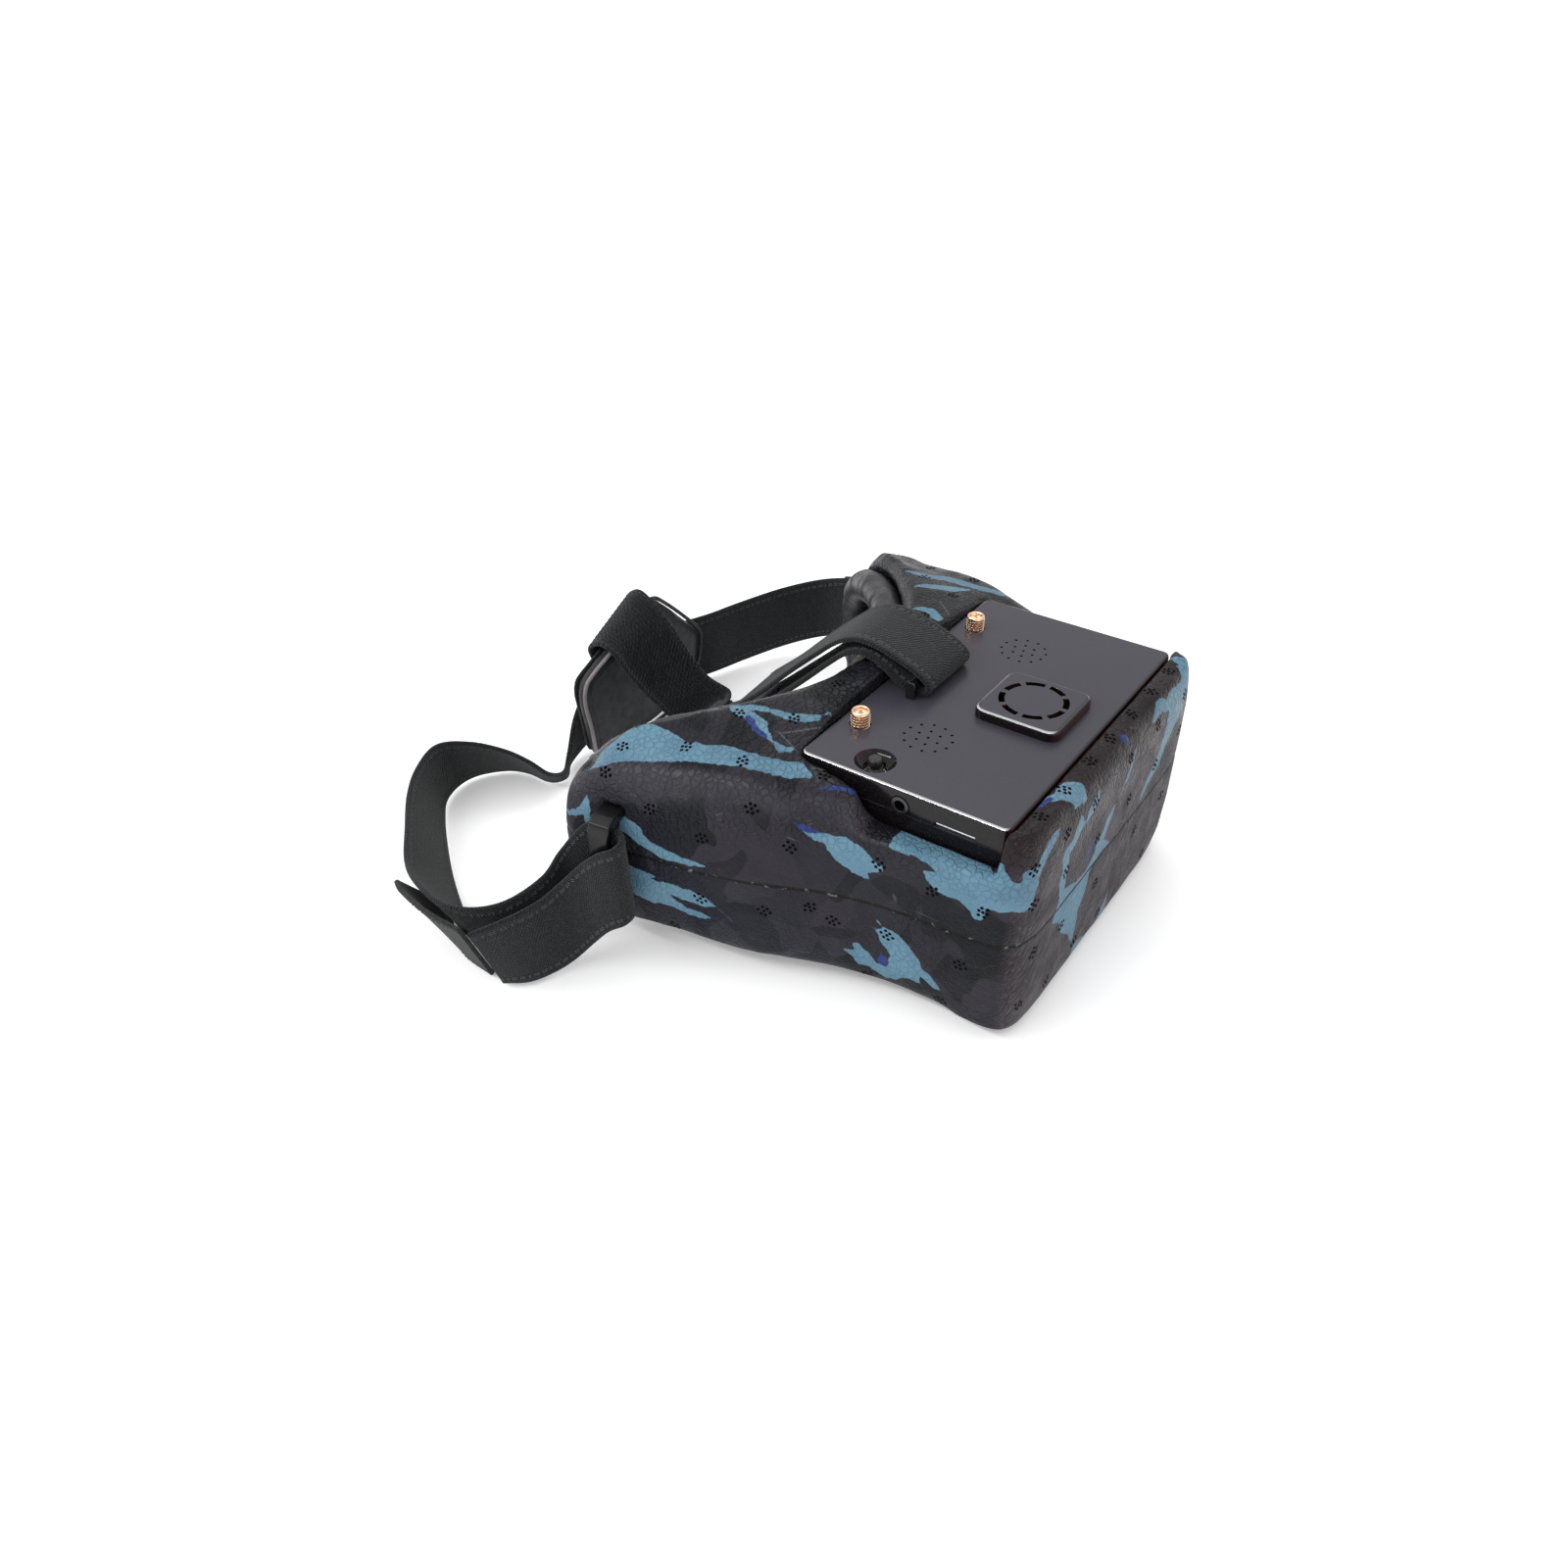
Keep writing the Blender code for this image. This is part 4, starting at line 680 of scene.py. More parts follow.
def vents(skin):
    """Clusters of moulding vents all over the foam: small rimmed pits, each closed by a near-black disc that
    is painted shade standing in for the hole.
    """
    tree = surface_of(skin)
    verts, faces = [], []
    for start, way in vent_targets():
        hit, out, _, _ = tree.ray_cast(Vector(start) * MM, Vector(way))
        if hit is None:
            continue
        frame_at = out.to_track_quat("Z", "Y").to_matrix()
        for u, v in vent_spots(start[0], start[2]):
            middle = hit + frame_at @ (Vector((u, v, 3.0)) * MM)
            foot, up, _, _ = tree.ray_cast(middle, -out, 6 * MM)
            if foot is None:
                continue
            turn_to = up.to_track_quat("Z", "Y").to_matrix()
            first = len(verts)
            for radius, height in VENT_RINGS:
                for k in range(VENT_SIDES):
                    a = 2 * math.pi * k / VENT_SIDES
                    spoke = Vector((radius * math.cos(a), radius * math.sin(a), height))
                    verts.append(tuple(foot / MM + turn_to @ spoke))
            faces += quads(len(VENT_RINGS), VENT_SIDES, first)
            faces.append(tuple(range(len(verts) - VENT_SIDES, len(verts))))
    return settle(from_lists("foam_vents", verts, faces), PIT_SHADE, "foam", sharp=60)


skin = foam_skin()
vents(skin)


# --------------------------------------------------------------------------
# Hard parts
# --------------------------------------------------------------------------
FLAT_ANGLE, ROLL_ANGLE, SHARP_ANGLE = 0.6, 28.0, 38.0     # degrees


def refined(node, look, slot, bevel=0.2, body=ROOT):
    """A CAD node's shape with its flat regions merged and its edges rolled over."""
    ob = cad_copy(node + "_fine", node)
    with edited(ob.data) as bm:
        bmesh.ops.dissolve_limit(bm, angle_limit=math.radians(FLAT_ANGLE), verts=bm.verts, edges=bm.edges)
    roll = ob.modifiers.new("bevel", "BEVEL")
    roll.width = bevel * MM
    roll.segments = 3 if bevel > 0.4 else 2
    roll.limit_method = "ANGLE"
    roll.angle_limit = math.radians(ROLL_ANGLE)
    evaluated(ob)
    smoothed(ob, SHARP_ANGLE)
    flat = ob.modifiers.new("weighted", "WEIGHTED_NORMAL")
    flat.weight = 50
    flat.keep_sharp = True
    evaluated(ob)
    return settle(ob, look, slot, node, body=body)


HARD = [
    ("module_cover", CASE, "case", 0.32), ("module_case", CASE, "case", 0.35),
    ("mirror_bracket", CASE, "case", 0.3), ("mirror_glass", MIRROR, "mirror", 0.2),
    ("lens_frame", RUBBER, "frame", 0.3), ("fresnel_lens", LENS, "lens", 0.15),
    ("screen_window", SCREEN, "window", 0.12), ("lcd_panel", SCREEN, "screen", 0.3),
    ("main_board", BOARD, "board", 0.15), ("fan_frame", RUBBER, "fan", 0.2),
    ("battery_pack", SLEEVE, "battery", 0.5), ("av_jack", GLOSS, "case", 0.25),
    ("card_socket", STEEL, "steel", 0.12), ("joystick_base", STEEL, "steel", 0.15),
    ("top_strap_clip", GLOSS, "clip", 0.45),
]
HARD += [("board_screw_%d" % k, STEEL, "steel", 0.15) for k in range(1, 5)]
for tag in ("_right", "_left"):
    HARD += [("sma_nut" + tag, GOLD, "gold", 0.2), ("speaker" + tag, STEEL, "can", 0.15),
             ("receiver_module" + tag, STEEL, "can", 0.25), ("strap_loop" + tag, LOOP, "loop", 0.9)]
for node, look, slot, bevel in HARD:
    refined(node, look, slot, bevel)
refined("fan_rotor", GLOSS, "fan", 0.15, "fan_rotor")
refined("joystick_rocker", STEEL, "stick", 0.12, "stick_rocker")
refined("joystick_gimbal", STEEL, "stick", 0.12, "stick_gimbal")


def lathe(name, rings, sides, at, shape=None):
    """Body of revolution from (radius, height) pairs in mm; shape(angle, r, z) may bend the radius."""
    verts = []
    for r, z in rings:
        for k in range(sides):
            a = 2 * math.pi * k / sides
            wide = shape(a, r, z) if shape else r
            verts.append((at[0] + wide * math.cos(a), at[1] + wide * math.sin(a), z))
    faces = quads(len(rings), sides)
    faces.append(tuple(reversed(range(sides))))
    faces.append(tuple(range(len(verts) - sides, len(verts))))
    return from_lists(name, verts, faces)


def joined(name, *pieces):
    """One object from several, keeping each part's material slot."""
    whole = bmesh.new()
    for index, (piece, look) in enumerate(pieces):
        with edited(piece.data) as part:
            for face in part.faces:
                face.material_index = index
        whole.from_mesh(piece.data)
        bpy.data.objects.remove(piece)
    mesh = bpy.data.meshes.new(name)
    whole.to_mesh(mesh)
    whole.free()
    for piece, look in pieces:
        mesh.materials.append(look)
    return new_object(name, mesh)


def corners(node):
    """Low and high corner of a CAD node's box, in mm."""
    return (Vector(c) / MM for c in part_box(node))


def middle_of(node):
    low, high = corners(node)
    return (low.x + high.x) / 2, (low.y + high.y) / 2


def card_socket_lip():
    """Bright lip of the card slot, proud of the module's side wall."""
    low, high = corners("card_socket")
    x, z = 60.35, 71.0
    rim = [(-1.4, 70.5), (-0.3, 70.42), (0.0, 70.6), (0.1, 71.0), (-0.05, 71.45), (-0.5, 71.62), (-1.4, 71.6)]
    near, far = low.y + 0.75, high.y - 0.75
    rows = [(near, 0.75), (near + 0.25, 1.0), (far - 0.25, 1.0), (far, 0.75)]
    verts = [(x - 1.4 + (dx + 1.4) * g, y, z + (height - z) * g) for y, g in rows for dx, height in rim]
    count = len(rim)
    faces = [tuple(range(count)), tuple(reversed(range(len(verts) - count, len(verts))))]
    faces += quads(len(rows), count)
    return settle(from_lists("card_socket_lip", verts, faces), STEEL, "steel", sharp=40)


THREAD_PITCH, THREAD_DEEP = 0.95, 0.5
THREAD_LOW, THREAD_HIGH = 76.4, 82.75


def thread(a, r, z):
    if not THREAD_LOW < z < THREAD_HIGH:
        return r
    turn = (z / THREAD_PITCH - a / (2 * math.pi)) % 1.0
    return r - THREAD_DEEP * max(0.0, min(1.0, 1.4 - abs(turn - 0.5) / 0.2))


def sma_connector(tag):
    """Threaded gold barrel with its white insert and centre pin."""
    middle = middle_of("sma_connector_" + tag)
    rings = [(3.85, 69.4), (3.85, 72.1), (3.0, 72.3), (3.0, 76.3)]
    rings += [(3.17, THREAD_LOW + 0.065 * k) for k in range(98)]
    rings += [(3.1, 82.9), (2.95, 83.25), (2.75, 83.5), (2.45, 83.58), (2.25, 83.5), (2.15, 83.2),
              (2.15, 81.6)]
    barrel = lathe("barrel", rings, 44, middle, thread)
    cup = [(2.14, 81.3), (2.14, 82.3), (1.95, 82.4), (0.75, 82.4), (0.7, 82.2)]
    insert = lathe("insert", cup, 28, middle)
    pin = lathe("pin", [(0.62, 81.4), (0.62, 82.9), (0.5, 83.1), (0.3, 83.1), (0.28, 82.3)], 18, middle)
    connector = joined("sma_fine_" + tag, (barrel, GOLD), (insert, PIN), (pin, GOLD))
    smoothed(connector, 50)
    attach(connector, ROOT)
    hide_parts("sma_connector_" + tag)


def petals(a, r, z):
    if z < 75.2 or r < 1.6:
        return r
    return r * (0.84 + 0.16 * abs(math.cos(2.5 * a)) ** 0.6)


def joystick_petals():
    """Stem, collar and five-lobed top of the joystick's cap."""
    rings = [(0.3, 71.35), (0.58, 71.45), (0.58, 75.3), (2.4, 75.3), (2.6, 75.5), (2.6, 75.8), (2.2, 76.1),
             (1.55, 76.3), (1.5, 76.8), (2.2, 77.0), (2.35, 77.3), (2.35, 78.7), (2.2, 79.2), (1.9, 79.55),
             (1.4, 79.68), (0.8, 79.5), (0.35, 79.42)]
    cap = lathe("joystick_petals", rings, 60, middle_of("joystick_cap"), petals)
    settle(cap, RUBBER, "stick", "joystick_cap", body="stick_cap", sharp=50)


card_socket_lip()
sma_connector("right")
sma_connector("left")
joystick_petals()


# --------------------------------------------------------------------------
# Straps
# --------------------------------------------------------------------------
STRAP_T = 1.5
SELVAGE = 0.1            # how far a strap's edge stands proud


def catmull(p0, p1, p2, p3, t):
    return (p1 * 2 + (p2 - p0) * t + (p0 * 2 - p1 * 5 + p2 * 4 - p3) * t * t
            + (p1 * 3 - p0 - p2 * 3 + p3) * t ** 3) / 2


def smooth_open(points, sub):
    """Catmull-Rom points through a list of tuples, the ends mirrored."""
    p = np.array(points, float)
    p = np.vstack([2 * p[0] - p[1], p, 2 * p[-1] - p[-2]])
    out = [catmull(*p[i:i + 4], k / sub) for i in range(len(p) - 3) for k in range(sub)]
    return np.array(out + [p[-2]])


class Band:
    """Sections of a strap from (lower edge, upper edge) pairs in mm, evenly spaced along it."""

    def __init__(self, sections, step):
        rows = smooth_open([tuple(a) + tuple(b) for a, b in sections], 14)
        mid = (rows[:, :3] + rows[:, 3:]) / 2
        run = np.concatenate([[0], np.cumsum(np.linalg.norm(np.diff(mid, axis=0), axis=1))])
        self.length = run[-1]
        self.run = np.linspace(0, self.length, max(4, int(self.length / step)))
        even = np.stack([np.interp(self.run, run, rows[:, k]) for k in range(6)], 1)
        low, high = even[:, :3], even[:, 3:]
        self.mid = (low + high) / 2
        self.width = np.linalg.norm(high - low, axis=1)
        self.across = (high - low) / self.width[:, None]
        along = np.gradient(self.mid, axis=0)
        out = np.cross(along, self.across)
        self.out = out / np.linalg.norm(out, axis=1)[:, None]
        along = np.cross(self.across, self.out)
        self.along = along / np.linalg.norm(along, axis=1)[:, None]

    def point(self, i, v, h):
        return self.mid[i] + self.across[i] * v + self.out[i] * h


def strap(name, band, look, slot, columns, relief=None, thick=STRAP_T, stands_for=True):
    """Woven strap with rounded selvages; relief(s, v) raises both faces, in mm."""
    half_t = thick / 2
    face = [(-1 + 2 * k / columns, 1.0) for k in range(columns + 1)]
    turn = [(1 + math.sin(math.pi * k / 4), math.cos(math.pi * k / 4)) for k in range(1, 4)]
    loop = face + turn
    loop += [(-u, -up) for u, up in loop]
    count = len(loop)
    rows = len(band.run)
    verts, faces, uvs, where = [], [], [], []
    for i in range(rows):
        flat = band.width[i] / 2 - half_t
        for u, up in loop:
            v = max(-1, min(1, u)) * flat
            if abs(u) > 1:
                v += math.copysign((abs(u) - 1) * half_t, u)
            lift = half_t
            if relief and abs(u) <= 1:
                lift += relief(band.run[i], v, flat)
            if abs(u) > 0.9:
                lift += SELVAGE
            verts.append(tuple(band.point(i, v, up * lift)))
            where.append((band.run[i] * MM, v * MM))
    for i in range(rows - 1):
        for k in range(count):
            n = (k + 1) % count
            quad = (i * count + k, (i + 1) * count + k, (i + 1) * count + n, i * count + n)
            faces.append(quad)
            uvs.extend(where[q] for q in quad)
    for first, way in ((0, 1), ((rows - 1) * count, -1)):
        cap_ring = tuple(first + k for k in range(count))[::way]
        faces.append(cap_ring)
        uvs.extend(where[q] for q in cap_ring)
    ob = from_lists(name, verts, faces, uvs)
    with edited(ob.data) as bm:
        bmesh.ops.recalc_face_normals(bm, faces=bm.faces)
    nodes = [name.removesuffix("_fine")] if stands_for else []
    return settle(ob, look, slot, *nodes, sharp=60)


def add_stitch(verts, faces, start, end, up, wide, high):
    """One raised stitch: a low lens-shaped ridge from start to end."""
    along = end - start
    side = np.cross(along, up)
    side = side / np.linalg.norm(side) * wide
    first = len(verts)
    verts.append(tuple(start - up * 0.1))
    for t, g in ((0.2, 0.8), (0.5, 1.0), (0.8, 0.8)):
        at = start + along * t
        verts.extend([tuple(at - side * g), tuple(at - side * g * 0.5 + up * high * g),
                      tuple(at + side * g * 0.5 + up * high * g), tuple(at + side * g)])
    verts.append(tuple(end - up * 0.1))
    last = first + 13
    for k in range(3):
        faces.append((first, first + 1 + k, first + 2 + k))
        faces.append((last, first + 10 + k, first + 9 + k))
    for ring in (0, 1):
        for k in range(3):
            a = first + 1 + ring * 4 + k
            faces.append((a, a + 4, a + 5, a + 1))


STITCH_REACH, STITCH_WIDE, STITCH_HIGH, STITCH_LEAN = 0.8, 0.2, 0.24, 0.06


def stitch_rows(name, band, lanes, pitch, look):
    """Chain of stitches along a strap, 'lanes' mm in from each edge, on both faces."""
    verts, faces = [], []
    for lane in lanes:
        for j in range(int(band.length / pitch)):
            s = (j + 0.5) * pitch
            i = min(int(s / band.length * (len(band.run) - 1)), len(band.run) - 2)
            reach = band.along[i] * pitch * STITCH_REACH / 2
            skew = band.across[i] * STITCH_LEAN * (1 if j % 2 else -1)
            for edge_side in (1, -1):
                v = edge_side * (band.width[i] / 2 - lane)
                for face in (1, -1):
                    at = band.point(i, v, face * STRAP_T / 2)
                    add_stitch(verts, faces, at - reach - skew, at + reach + skew, band.out[i] * face,
                               STITCH_WIDE, STITCH_HIGH)
    return settle(from_lists(name, verts, faces), look, "webbing", sharp=70)


TOP_W = 28.0
TOP_PATH = [
    (-96.0, 47.2), (-84.0, 58.0), (-72.0, 70.3), (-61.5, 80.4), (-53.0, 88.0), (-45.5, 91.4), (-37.5, 91.2),
    (-29.5, 89.0), (-23.0, 86.6), (-18.6, 83.6), (-18.4, 80.8), (-20.5, 79.7), (-25.0, 79.8), (-30.0, 81.6),
    (-35.5, 85.0), (-42.0, 87.0), (-49.0, 85.2), (-56.5, 78.6), (-66.5, 68.4), (-79.0, 56.4), (-92.0, 44.4),
    (-104.0, 34.6), (-115.0, 27.0), (-122.0, 24.0)]
TOP_LIFT = [2.4, 2.4, 2.4, 2.2, 1.6, 0.6] + [0.0] * 10 + [0.6, 1.6, 2.2, 2.4, 2.4, 2.4, 2.0, 1.6]
TOP = [((-TOP_W / 2, y, z + d), (TOP_W / 2, y, z)) for (y, z), d in zip(TOP_PATH, TOP_LIFT)]
REAR = [
    ((-15.0, -124.2, 24.0), (13.0, -124.2, 22.6)), ((-25.0, -128.4, 19.4), (3.0, -131.0, 16.6)),
    ((-32.7, -133.2, 19.0), (-6.3, -140.0, 12.5)), ((-28.3, -141.3, 25.5), (-0.8, -146.0, 23.1)),
    ((-23.6, -145.9, 36.3), (3.4, -150.4, 31.2)), ((-17.4, -149.4, 50.6), (8.6, -153.6, 41.2)),
    ((-15.2, -156.4, 60.0), (11.4, -155.6, 48.4)), ((-15.2, -163.4, 63.4), (11.8, -162.6, 50.8)),
    ((-16.0, -170.0, 59.0), (10.4, -169.6, 46.0)), ((-18.0, -171.4, 51.0), (7.0, -170.4, 37.5)),
    ((-21.5, -171.4, 43.0), (3.5, -170.4, 29.5))]
NEAR = [
    ((12.0, -171.2, 5.0), (12.0, -170.8, 31.0)), ((21.0, -171.0, 2.2), (21.0, -170.6, 20.0)),
    ((29.0, -168.6, 1.4), (29.0, -168.0, 8.0)), ((35.6, -164.0, 1.2), (37.6, -163.0, 6.2)),
    ((40.6, -168.0, 1.2), (48.0, -160.2, 12.0)), ((41.0, -178.5, 1.2), (54.8, -163.0, 20.4)),
    ((44.4, -186.9, 1.2), (57.8, -172.1, 23.5)), ((53.4, -194.0, 1.2), (64.6, -182.8, 26.7)),
    ((62.8, -195.4, 1.2), (74.5, -190.1, 28.3)), ((73.6, -191.6, 1.2), (87.6, -186.6, 26.8)),
    ((82.8, -182.8, 1.2), (99.6, -178.2, 25.4)), ((94.0, -169.3, 1.2), (112.4, -165.0, 24.6)),
    ((105.6, -153.6, 1.2), (124.6, -151.6, 24.0)), ((116.6, -136.0, 1.2), (132.0, -138.0, 26.4)),
    ((124.6, -120.6, 1.2), (136.0, -121.8, 28.6)), ((126.4, -109.0, 1.4), (133.6, -109.4, 30.2)),
    ((121.9, -101.4, 2.0), (125.4, -101.6, 31.6)), ((112.0, -96.8, 4.6), (112.8, -98.2, 34.4)),
    ((105.0, -93.4, 10.2), (105.4, -97.2, 40.2)), ((101.2, -88.4, 19.6), (101.4, -91.4, 49.6)),
    ((99.4, -84.4, 23.2), (99.4, -86.6, 53.2)), ((98.8, -78.6, 23.4), (98.8, -80.6, 53.4)),
    ((99.2, -73.4, 23.2), (99.2, -75.6, 53.2)), ((101.6, -71.2, 22.6), (101.6, -73.4, 52.6)),
    ((105.2, -71.8, 21.4), (105.2, -74.0, 51.4)), ((107.6, -76.2, 18.4), (107.6, -79.4, 48.3)),
    ((109.8, -81.4, 12.2), (109.8, -85.6, 42.0)), ((113.8, -86.8, 5.4), (114.0, -90.6, 35.2)),
    ((119.6, -91.2, 1.8), (120.6, -93.4, 31.6)), ((127.0, -95.0, 1.4), (130.8, -96.2, 31.0)),
    ((132.2, -101.8, 1.2), (141.8, -102.6, 29.0))]
PATCH = [
    ((131.4, -107.2, 1.2), (141.6, -107.0, 28.6)), ((129.6, -121.4, 1.2), (141.0, -122.6, 27.6)),
    ((121.4, -137.4, 1.2), (137.0, -139.4, 25.2)), ((116.6, -145.8, 1.2), (134.0, -145.8, 24.2))]
FAR = [
    ((-22.0, -173.0, 6.0), (-22.0, -173.0, 34.0)), ((-40.0, -173.0, 4.0), (-39.6, -173.0, 33.6)),
    ((-52.0, -170.6, 2.0), (-51.0, -170.4, 32.0)), ((-64.0, -165.8, 2.0), (-62.6, -165.8, 32.0)),
    ((-80.0, -160.4, 2.6), (-78.6, -160.4, 32.6)), ((-97.0, -151.6, 4.6), (-95.8, -151.2, 34.6)),
    ((-107.6, -140.0, 8.0), (-106.6, -138.6, 38.0)), ((-109.4, -127.0, 12.4), (-108.0, -125.4, 42.2)),
    ((-106.0, -114.0, 16.4), (-105.0, -113.0, 46.2)), ((-101.6, -101.6, 20.0), (-101.4, -102.0, 50.0)),
    ((-100.4, -91.0, 22.2), (-100.4, -92.6, 52.2)), ((-99.6, -84.0, 23.2), (-99.6, -86.0, 53.2)),
    ((-98.9, -78.0, 23.2), (-98.9, -80.0, 53.2)), ((-99.4, -73.6, 23.1), (-99.4, -75.0, 53.1)),
    ((-101.8, -72.0, 22.9), (-101.8, -73.4, 52.9)), ((-105.4, -72.8, 22.5), (-105.4, -74.4, 52.5)),
    ((-107.6, -79.4, 21.4), (-107.6, -81.4, 51.4)), ((-107.6, -90.4, 19.6), (-107.6, -92.0, 49.6)),
    ((-108.6, -101.6, 17.4), (-108.4, -102.0, 47.4)), ((-111.4, -115.0, 14.2), (-110.6, -114.4, 44.2)),
    ((-113.2, -129.0, 10.6), (-112.2, -127.8, 40.6))]


def rib_relief(s, v, flat):
    """Slanting cords of the ribbed elastic, fading into smooth borders."""
    fade = min(1.0, max(0.0, (flat - 2.2 - abs(v)) / 0.8))
    return 0.24 * fade * math.sin(2 * math.pi * (s + 0.9 * v) / 2.0)


def channel_relief(s, v, flat):
    """Shallow channels where the edge stitching pulls the webbing in."""
    d = abs(abs(v) - (flat - 2.2))
    return -0.16 * max(0.0, 1 - d / 0.7)


JOINT = [((-14.3, -117.6, 28.0), (14.3, -117.6, 26.2)), ((-14.3, -121.4, 26.0), (14.3, -121.4, 24.5)),
         ((-15.5, -124.2, 24.4), (13.0, -124.4, 22.9)), ((-18.4, -125.9, 22.7), (9.6, -126.8, 21.0)),
         ((-21.6, -127.2, 21.0), (6.6, -129.0, 19.1))]
for name, sections in (("top_strap", TOP), ("side_strap_right", NEAR), ("side_strap_left", FAR)):
    band = Band(sections, 1.0)
    strap(name + "_fine", band, WEBBING, "webbing", 24, channel_relief)
    stitch_rows(name + "_stitches", band, (2.6, 3.3), 1.6, THREAD)
band = Band(REAR, 0.36)
strap("rear_band_fine", band, RIBBED, "ribbed", 66, rib_relief)
stitch_rows("rear_band_stitches", band, (1.7,), 2.2, THREAD)
band = Band(PATCH, 0.8)
strap("strap_hook_patch_right_fine", band, LOOP_PILE, "webbing", 20)
stitch_rows("hook_patch_stitches", band, (1.5,), 2.1, THREAD_DARK)
strap("strap_joint", Band(JOINT, 0.8), WEBBING, "webbing", 24, thick=3.4, stands_for=False)


# --------------------------------------------------------------------------
# Padded pieces
# --------------------------------------------------------------------------
CLOTH_FRAMES, CLOTH_PRESSURE = 20, 4.0


def blown(ob, co, pinned):
    """How far the cloth solver moves each point when the piece is filled from inside."""
    if pinned is not None:
        group = ob.vertex_groups.new(name="pin")
        group.add([int(i) for i in np.nonzero(pinned(co / MM))[0]], 1.0, "REPLACE")
    cloth = ob.modifiers.new("cloth", "CLOTH")
    setup = cloth.settings
    setup.quality = 5
    setup.mass = 0.3
    setup.use_pressure = True
    setup.uniform_pressure_force = CLOTH_PRESSURE
    setup.tension_stiffness = 12
    setup.compression_stiffness = 12
    setup.bending_stiffness = 0.4
    setup.effector_weights.gravity = 0.0
    if pinned is not None:
        setup.vertex_group_mass = "pin"
    cloth.point_cache.frame_start = 1
    cloth.point_cache.frame_end = CLOTH_FRAMES
    for step in range(1, CLOTH_FRAMES + 1):
        SCENE.frame_set(step)
    graph = bpy.context.evaluated_depsgraph_get()
    swollen = bpy.data.meshes.new_from_object(ob.evaluated_get(graph))
    moved = coordinates(swollen) - co
    bpy.data.meshes.remove(swollen)
    ob.modifiers.clear()
    SCENE.frame_set(1)
    return moved


def puffed(name, node, voxel, cap, pinned=None):
    """Skin of a padded node blown up a little by the cloth solver; no point moves over 'cap' mm."""
    ob = remeshed(cad_copy(name, node), voxel)
    edges = edge_list(ob.data)
    co = coordinates(ob.data)
    co = relax(co, edges, np.full(len(co), 0.35), 3)
    put_coordinates(ob.data, co)
    moved = blown(ob, co, pinned)
    far_off = np.linalg.norm(moved, axis=1)[:, None]
    moved = moved * np.minimum(1.0, cap * MM / np.maximum(far_off, 1e-9))
    put_coordinates(ob.data, relax(co + moved, edges, np.full(len(co), 0.3), 2))
    return ob


def subdivided(ob, levels):
    smooth = ob.modifiers.new("subdivision", "SUBSURF")
    smooth.levels = levels
    return evaluated(ob)


def tube(name, path, radius, look, slot, sides=8):
    """Round cord along a list of points in mm."""
    p = np.array(path, float)
    along = np.gradient(p, axis=0)
    along /= np.linalg.norm(along, axis=1)[:, None]
    verts = []
    side = np.cross(along[0], (0.1, 0.2, 1.0))
    for at, ahead in zip(p, along):
        side = side - ahead * np.dot(side, ahead)
        side = side / np.linalg.norm(side)
        other = np.cross(ahead, side)
        for k in range(sides):
            a = 2 * math.pi * k / sides
            verts.append(tuple(at + (side * math.cos(a) + other * math.sin(a)) * radius))
    return settle(from_lists(name, verts, quads(len(p), sides)), look, slot, sharp=80)


PAD = [(27.7, 34.0), (26.3, 41.0), (21.0, 44.6), (4.0, 50.6), (-12.0, 58.6), (-18.8, 59.6), (-25.0, 55.5),
       (-38.0, 43.5), (-49.0, 32.0), (-50.4, 26.0), (-47.5, 16.0), (-40.0, 6.6), (-30.0, 2.8), (-8.0, 2.4),
       (12.0, 2.4), (20.0, 3.6), (23.8, 8.6), (25.6, 22.0)]
PAD_FRONT, PAD_YAW = -159.2, 0.06
PIPING_RADIUS = 0.8


def smooth_closed(points, sub):
    p = np.array(points, float)
    n = len(p)
    return np.array([catmull(p[i - 1], p[i], p[(i + 1) % n], p[(i + 2) % n], k / sub)
                     for i in range(n) for k in range(sub)])


PAD_LOOP = smooth_closed(PAD, 6)
PAD_MIDDLE_X = smooth_closed(PAD, 2)[:, 0].mean()


def pad_inset(grow):
    """The pad's outline moved inwards by 'grow' mm."""
    along = np.roll(PAD_LOOP, -1, 0) - np.roll(PAD_LOOP, 1, 0)
    along /= np.linalg.norm(along, axis=1)[:, None]
    return np.stack([PAD_LOOP[:, 0] - along[:, 1] * grow, PAD_LOOP[:, 1] + along[:, 0] * grow], 1)


def pad_rim(co):
    return polygon_distance(co[:, [0, 2]], pad_inset(0)) < 3.2


def pad_face(x):
    """Where the pad's plain front face lies at x."""
    return PAD_FRONT + PAD_YAW * (x - PAD_MIDDLE_X)


def pad_piping():
    """Cord round the pad's front edge: pale where it shows beside the ribbed band, dark elsewhere."""
    line = np.array([(x, pad_face(x) - 0.3, z) for x, z in pad_inset(0.3)])
    line = np.roll(line, len(line) // 2, axis=0)
    pale = np.nonzero((line[:, 0] > 8) & (line[:, 2] > 6))[0]
    first, last = pale[0], pale[-1]
    tube("rear_pad_piping_pale", line[first:last + 1], PIPING_RADIUS, PIPING, "pad")
    dark = np.vstack([line[last:], line[:first + 1]])
    tube("rear_pad_piping_dark", dark, PIPING_RADIUS, PIPING_DARK, "pad")


